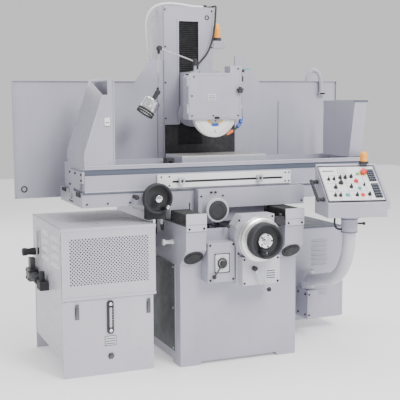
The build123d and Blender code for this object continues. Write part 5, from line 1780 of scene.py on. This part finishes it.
@dataclass
class Head:
    """Wheel head: guard, door, wheel, spindle and coolant nozzle."""

    nodes: dict
    z: float = 1.318
    wheel_radius: float = 0.127
    guard: tuple[float, float, float, float] = (-0.165, 0.152, 1.291, 1.545)

    def build(self) -> None:
        """Builds and dresses the head."""
        dress(self.nodes, Finish.IRON, ["head_slide"])
        dress(self.nodes, Finish.TURNED, ["spindle_shaft"])
        dress(self.nodes, Finish.BLACK, ["guard_door_knob"])
        self.wheel()
        self.door_trim()
        self.nozzle()
        self.housing_trim()

    def wheel(self) -> None:
        """White wheel with its paper blotters and clamped flange."""
        r = self.wheel_radius
        profile = [(0, 0.0382), (0, r - 0.0015), (0.0015, r), (0.0325, r), (0.034, r - 0.0015),
            (0.034, 0.0382), (0, 0.0382)]
        stone = Shape().lathe(profile, (0, -0.226, self.z), Along.Y, 128)
        stone.made("wheel_stone", Finish.STONE, "spindle", 0, stands_for=["grinding_wheel"])
        blotter = Shape().tube((0, -0.0007), (0.049, 0.1), (0, -0.226, self.z), Along.Y, 96)
        blotter.made("wheel_blotter", Finish.WHITE, "spindle", 0, slot="abrasive")
        self.print_arcs("yellow", Finish.YELLOW, 0.051, 0.062, 54)
        self.print_arcs("blue", Finish.BLUE, 0.051, 0.067, 21)
        arrow = Shape().prism([(-0.0035, -0.098), (0.0035, -0.098), (0.0012, -0.086), (-0.0012, -0.086)],
            Along.Y, -0.2274, -0.2264)
        arrow.placed(Matrix.Translation((0, 0, self.z))).made("wheel_arrow", Finish.INK, "spindle", 0)
        screws = Shape()
        for i in range(6):
            angle = math.tau * i / 6
            screws.screw((0.036 * math.sin(angle), -0.235, self.z + 0.036 * math.cos(angle)), Along.Y,
                0.004, -0.003)
        screws.made("flange_screws", Finish.SCREW, "spindle", 0)

    def print_arcs(self, name: str, finish: Finish, inner: float, outer: float, half: float) -> None:
        """Prints two opposite arcs on the blotter.

        Args:
            name: colour word for the piece's name.
            finish: the ink.
            inner: inner radius.
            outer: outer radius.
            half: half of each arc, in degrees.
        """
        y = -0.2269 if finish is Finish.YELLOW else -0.2273
        shape = Shape()
        for middle in (90, 270):
            rings = []
            for i in range(17):
                angle = math.radians(middle - half + half * i / 8)
                c, s = math.cos(angle), math.sin(angle)
                rings.append([(r * c, depth, self.z + r * s)
                    for r, depth in ((inner, y), (outer, y), (outer, y + 0.0006), (inner, y + 0.0006))])
            shape.loft(rings)
        shape.made(f"wheel_print_{name}", finish, "spindle", 0, slot="abrasive")

    def door_trim(self) -> None:
        """Pressed border, screws, latch and blank plate on the guard's door."""
        x0, x1, z0, z1 = self.guard
        y = -0.247
        border = Shape()
        for a, b in (((x0 + 0.006, z0 + 0.008), (x1 - 0.006, z0 + 0.012)),
                ((x0 + 0.02, z1 - 0.014), (0.078, z1 - 0.01)), ((x0 + 0.006, z0 + 0.008),
                (x0 + 0.01, z1 - 0.03)), ((x1 - 0.01, z0 + 0.008), (x1 - 0.006, z1 + 0.03))):
            border.box((a[0], y - 0.0012, a[1]), (b[0], y + 0.0005, b[1]))
        border.made("guard_door_border", Finish.ENAMEL, "guard_cover", 0.0006)
        screws = Shape()
        for x, z in ((x0 + 0.018, z0 + 0.02), (x1 - 0.02, z0 + 0.02), (x0 + 0.03, z1 - 0.022),
                (x1 - 0.02, z1 + 0.025), (x0 + 0.018, 1.42), (-0.02, z0 + 0.02)):
            screws.screw((x, y, z), Along.Y, 0.0045, -0.003)
        screws.made("guard_door_screws", Finish.SCREW, "guard_cover", 0)
        latch = Shape().box((-0.012, y - 0.004, z0 + 0.002), (0.018, y, z0 + 0.014))
        latch.box((-0.004, y - 0.01, z0 + 0.004), (0.01, y - 0.004, z0 + 0.012))
        latch.made("guard_latch", Finish.SCREW, "guard_cover")
        plate = Shape().box((-0.052, y - 0.0015, 1.395), (-0.004, y + 0.0005, 1.43))
        plate.made("guard_plate", Finish.PLATE, "guard_cover", 0.0004)
        bars = Shape().ribs(3, (-0.048, y - 0.0021, 1.401), (-0.008, y - 0.0013, 1.404), (0, 0, 0.009))
        bars.made("guard_plate_bars", Finish.SHADE, "guard_cover", 0)
        pins = Shape()
        for z in (1.33, 1.48):
            pins.lathe([(0, 0.0048), (0.004, 0.0048), (0.0055, 0.003)], (-0.173, -0.244, z + 0.038),
                Along.Z, 20)
        pins.made("guard_hinge_pins", Finish.STEEL, "head", 0)

    def nozzle(self) -> None:
        """Segmented coolant hose with its orange tip, tap and clips."""
        route = [(0.164, -0.212, 1.5), (0.165, -0.213, 1.42), (0.166, -0.215, 1.34),
            (0.164, -0.224, 1.292), (0.146, -0.238, 1.258), (0.112, -0.245, 1.232), (0.072, -0.247, 1.21)]
        pipe = hose_line("coolant_hose", route, 0.0062, Finish.BLACK, "head", ribbed=True)
        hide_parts("coolant_nozzle")
        beads = Shape()
        beads.rod((0.165, -0.222, 1.3), (0.152, -0.233, 1.268), 0.0098, 0.0108)
        beads.rod((0.149, -0.235, 1.264), (0.13, -0.241, 1.246), 0.0095, 0.0105)
        beads.made("coolant_segments", Finish.BLUE, "head")
        tip = Shape().rod((0.098, -0.246, 1.225), (0.064, -0.247, 1.205), 0.0098, 0.0052)
        tip.made("coolant_tip", Finish.ORANGE, "head", 0.0006)
        valve = Shape().box((0.153, -0.224, 1.5), (0.176, -0.2, 1.53))
        valve.rod((0.164, -0.212, 1.53), (0.164, -0.212, 1.562), 0.009).rod((0.153, -0.212, 1.56),
            (0.186, -0.212, 1.56), 0.0072)
        valve.made("coolant_tap", Finish.BLACK, "head", 0.001, slot="nozzle_plastic")
        lever = Shape().box((0.178, -0.219, 1.566), (0.222, -0.205, 1.573)).rod((0.182, -0.212, 1.556),
            (0.182, -0.212, 1.568), 0.005)
        lever.made("coolant_tap_lever", Finish.TEAL, "head", 0.0012, slot="nozzle_plastic")
        clips = Shape()
        for z in (1.352, 1.452):
            clips.box((0.152, -0.223, z), (0.156, -0.202, z + 0.014))
            clips.tube((0, 0.014), (0.0064, 0.009), (0.1655, -0.213, z), Along.Z, 28)
        clips.made("coolant_clips", Finish.STEEL, "head", 0.0004)

    def housing_trim(self) -> None:
        """End cap, ribs and bolts of the spindle housing."""
        cap = Shape().lathe([(-0.166, 0.0215), (-0.166, 0.066), (-0.16, 0.072), (-0.15, 0.0762),
            (-0.146, 0.0762), (-0.146, 0.0215), (-0.166, 0.0215)], (0, 0, self.z), Along.Y, 72)
        cap.made("housing_nose", Finish.ENAMEL, "head")
        fins = Shape()
        for i in range(8):
            y = 0.02 + 0.014 * i
            fins.tube((y, y + 0.004), (0.0748, 0.0772), (0, 0, self.z), Along.Y, 64)
        fins.made("housing_fins", Finish.ENAMEL, "head", 0)
        bolts = Shape()
        for side in (-1, 1):
            for y in (-0.12, -0.02, 0.08, 0.18):
                bolts.screw((side * 0.058, y, 1.535), Along.X, 0.005, side * 0.004)
        bolts.made("housing_bolts", Finish.SCREW, "head", 0)


@dataclass
class Lamp:
    """Work lamp: two chrome links and a chrome shade."""

    elbow: tuple[float, float, float] = (-0.287, -0.12, 1.683)
    pivot: tuple[float, float, float] = (-0.296, -0.108, 1.44)
    tilt: float = 34.0

    def build(self) -> None:
        """Builds the three links."""
        x, y, z = self.elbow
        px, py, pz = self.pivot
        arm = Shape().lathe([(0, 0.0082), (0, 0.014), (0.004, 0.0145), (0.028, 0.0145), (0.03, 0.0082),
            (0, 0.0082)], (-0.076, -0.12, 1.59), Along.Z, 36)
        arm.lathe([(0.0295, 0.014), (0.036, 0.012)], (-0.076, -0.12, 1.59), Along.Z, 36)
        arm.made("lamp_hub", Finish.BLACK, "lamp_boom", 0.0004, stands_for=["lamp_arm"])
        rod = Shape().rod((-0.088, -0.12, 1.616), self.elbow, 0.0044)
        rod.made("lamp_boom_rod", Finish.CHROME, "lamp_boom", 0)
        joint = Shape().lathe([(-0.01, 0.012), (-0.006, 0.0142), (0.0035, 0.0142), (0.004, 0.004),
            (0.02, 0.004)], self.elbow, Along.Y, 36)
        joint.made("lamp_elbow", Finish.BLACK, "lamp_boom", 0.0004)
        knuckles = Shape().lathe([(0.005, 0.0042), (0.005, 0.0142), (0.018, 0.0135), (0.019, 0.0042),
            (0.005, 0.0042)], self.elbow, Along.Y, 36)
        knuckles.tube((-0.006, 0.006), (0.0042, 0.013), self.pivot, Along.Y, 36)
        knuckles.rod((x - 0.0005, -0.108, z - 0.012), (x - 0.001, -0.108, z - 0.032), 0.0075)
        knuckles.rod((px + 0.001, py, pz + 0.028), (px + 0.0004, py, pz + 0.01), 0.0072)
        knuckles.made("lamp_knuckles", Finish.BLACK, "lamp_drop", 0.0004, stands_for=["lamp_rod"])
        drop = Shape().rod((x - 0.0005, -0.108, z - 0.028), (px, py, pz + 0.024), 0.0049)
        drop.made("lamp_drop_rod", Finish.CHROME, "lamp_drop", 0)
        place = Matrix.Translation(self.pivot) @ Matrix.Rotation(math.radians(self.tilt), 4, "Y")
        fork = Shape()
        for side in (-1, 1):
            fork.box(*sorted_box((-0.01, side * 0.0065, -0.044), (0.01, side * 0.012, -0.004)))
            fork.lathe([(side * 0.0065, 0.013), (side * 0.012, 0.013), (side * 0.014, 0.01)], (0, 0, 0),
                Along.Y, 32)
        fork.rod((0, -0.0065, 0), (0, 0.0065, 0), 0.0038)
        fork.placed(place).made("lamp_fork", Finish.BLACK, "lamp", 0.0006, stands_for=["lamp_head"])
        shade = [(-0.04, ON_AXIS), (-0.04, 0.016), (-0.046, 0.026), (-0.052, 0.044), (-0.058, 0.0485)]
        for i in range(5):
            low = -0.062 - 0.008 * i
            shade += [(low, 0.0485), (low - 0.002, 0.0465), (low - 0.004, 0.0465), (low - 0.006, 0.0485)]
        shade += [(-0.104, 0.0485), (-0.118, 0.049), (-0.118, 0.0455), (-0.07, 0.0455), (-0.06, 0.03),
            (-0.058, ON_AXIS)]
        Shape().lathe(shade, (0, 0, 0), Along.Z, 64).placed(place).made("lamp_shade", Finish.CHROME,
            "lamp", 0)
        rim = Shape().lathe([(-0.117, 0.044), (-0.117, 0.0494), (-0.124, 0.0498), (-0.126, 0.047),
            (-0.14, 0.047), (-0.14, 0.044), (-0.117, 0.044)], (0, 0, 0), Along.Z, 64)
        for i in range(22):
            turn = Matrix.Rotation(math.tau * i / 22, 4, "Z")
            corners = ((0.0462, -0.0026), (0.0498, -0.0026), (0.0498, 0.0026), (0.0462, 0.0026))
            rim.loft([[turn @ Vector((a, b, z)) for a, b in corners] for z in (-0.1435, -0.1235)])
        rim.placed(place).made("lamp_rim", Finish.BLACK, "lamp", 0.0004)
        bulb = Shape().lathe([(-0.134, 0.03), (-0.133, 0.0472), (-0.129, 0.0472)], (0, 0, 0), Along.Z,
            48).placed(place)
        bulb.made("lamp_lens", Finish.BULB, "lamp", 0.0004)


@dataclass
class GuardConduit:
    """Grey conduit arched over the splash guard, with its clips."""

    y: float = 0.172

    def build(self) -> None:
        """Builds the arch and its clips."""
        route = [(0.806, self.y, 1.44), (0.806, self.y, 1.5), (0.812, self.y - 0.004, 1.556),
            (0.846, 0.154, 1.588), (0.88, 0.14, 1.56), (0.888, 0.133, 1.5), (0.888, 0.133, 1.44)]
        arch = hose_line("guard_conduit", route, 0.0142, Finish.HOSE, "saddle", ribbed=True)
        clips = Shape().box((0.786, 0.153, 1.43), (0.826, 0.19, 1.442)).box((0.868, 0.116, 1.43),
            (0.908, 0.15, 1.442))
        clips.made("guard_conduit_clips", Finish.STEEL, "saddle", 0.001)


# ---------------------------------------------------------------- studio


@dataclass
class Studio:
    """Floor, soft light and the camera."""

    eye: tuple[float, float, float] = (-1.9596, -4.7202, 1.4)
    yaw: float = 22.56
    pitch: float = 6.55
    roll: float = 0.205
    lens: float = 78.72

    def build(self) -> None:
        """Builds the floor, the lights, the world and the camera."""
        floor = Shape().box((-9, -7, -0.02), (9, 11, 0)).made("studio_floor", Finish.ENAMEL, None, 0)
        tree = NodeTree("studio_floor_paper")
        shade = tree.mixed(tree.noise(1.5, 3), (0.93, 0.93, 0.935), (0.97, 0.97, 0.975))
        tree.join(shade, tree.shader.inputs["Base Color"])
        tree.set(Roughness=0.9, Emission_Strength=0.34)
        tree.shader.inputs["Emission Color"].default_value = (1.0, 1.0, 1.0, 1)
        floor.data.materials[0] = tree.material
        self.light("key", (0.9, -4.6, 4.4), (0.0, -0.1, 0.9), 1.9, 280)
        self.light("fill", (3.8, -3.0, 2.2), (0.2, 0, 0.8), 3.0, 45)
        self.light("top", (0.2, 0.2, 5.0), (0, 0, 0.8), 3.6, 150)
        self.light("back", (-1.5, 4.6, 3.2), (0, 0, 1.0), 3.0, 60)
        world = bpy.context.scene.world or bpy.data.worlds.new("studio_world")
        bpy.context.scene.world = world
        world.use_nodes = True
        backdrop = world.node_tree.nodes["Background"]
        backdrop.inputs["Color"].default_value = (1.0, 1.0, 1.0, 1)
        backdrop.inputs["Strength"].default_value = 0.8
        self.camera()

    def light(self, name: str, place: Point, target: Point, size: float, power: float) -> None:
        """Adds one soft area light aimed at a target.

        Args:
            name: the light's name.
            place: where it hangs.
            target: the point it faces.
            size: side of its square.
            power: watts.
        """
        data = bpy.data.lights.new(name, "AREA")
        data.size = size
        data.energy = power
        lamp = bpy.data.objects.new(name, data)
        lamp.location = place
        lamp.rotation_euler = (Vector(target) - Vector(place)).to_track_quat("-Z", "Y").to_euler()
        bpy.context.scene.collection.objects.link(lamp)

    def camera(self) -> None:
        """Adds the camera at eye height, in front and to the left."""
        yaw, pitch, roll = (math.radians(value) for value in (self.yaw, self.pitch, self.roll))
        ahead = Vector((math.sin(yaw) * math.cos(pitch), math.cos(yaw) * math.cos(pitch),
            -math.sin(pitch)))
        right = Vector((math.cos(yaw), -math.sin(yaw), 0))
        down = ahead.cross(right)
        level = right * math.cos(roll) + down * math.sin(roll)
        drop = down * math.cos(roll) - right * math.sin(roll)
        turn = Matrix((level, -drop, -ahead)).transposed().to_4x4()
        data = bpy.data.cameras.new("camera")
        data.lens = self.lens
        data.sensor_width = 36.0
        data.clip_end = 60
        camera = bpy.data.objects.new("camera", data)
        camera.matrix_world = Matrix.Translation(self.eye) @ turn
        bpy.context.scene.collection.objects.link(camera)
        bpy.context.scene.camera = camera


def main() -> None:
    """Builds every sub-assembly on the frame."""
    logging.basicConfig(level=logging.INFO)
    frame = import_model()
    nodes = frame["nodes"]
    dress(nodes, Finish.ENAMEL, nodes)
    parts = [Base(nodes), FrontControls(nodes), Cabinet(), Console(nodes), Tank(nodes), Column(nodes),
        Saddle(nodes), Table(nodes), Head(nodes), Lamp(), GuardConduit(), Studio()]
    for part in parts:
        part.build()


if __name__ == "__main__":
    main()
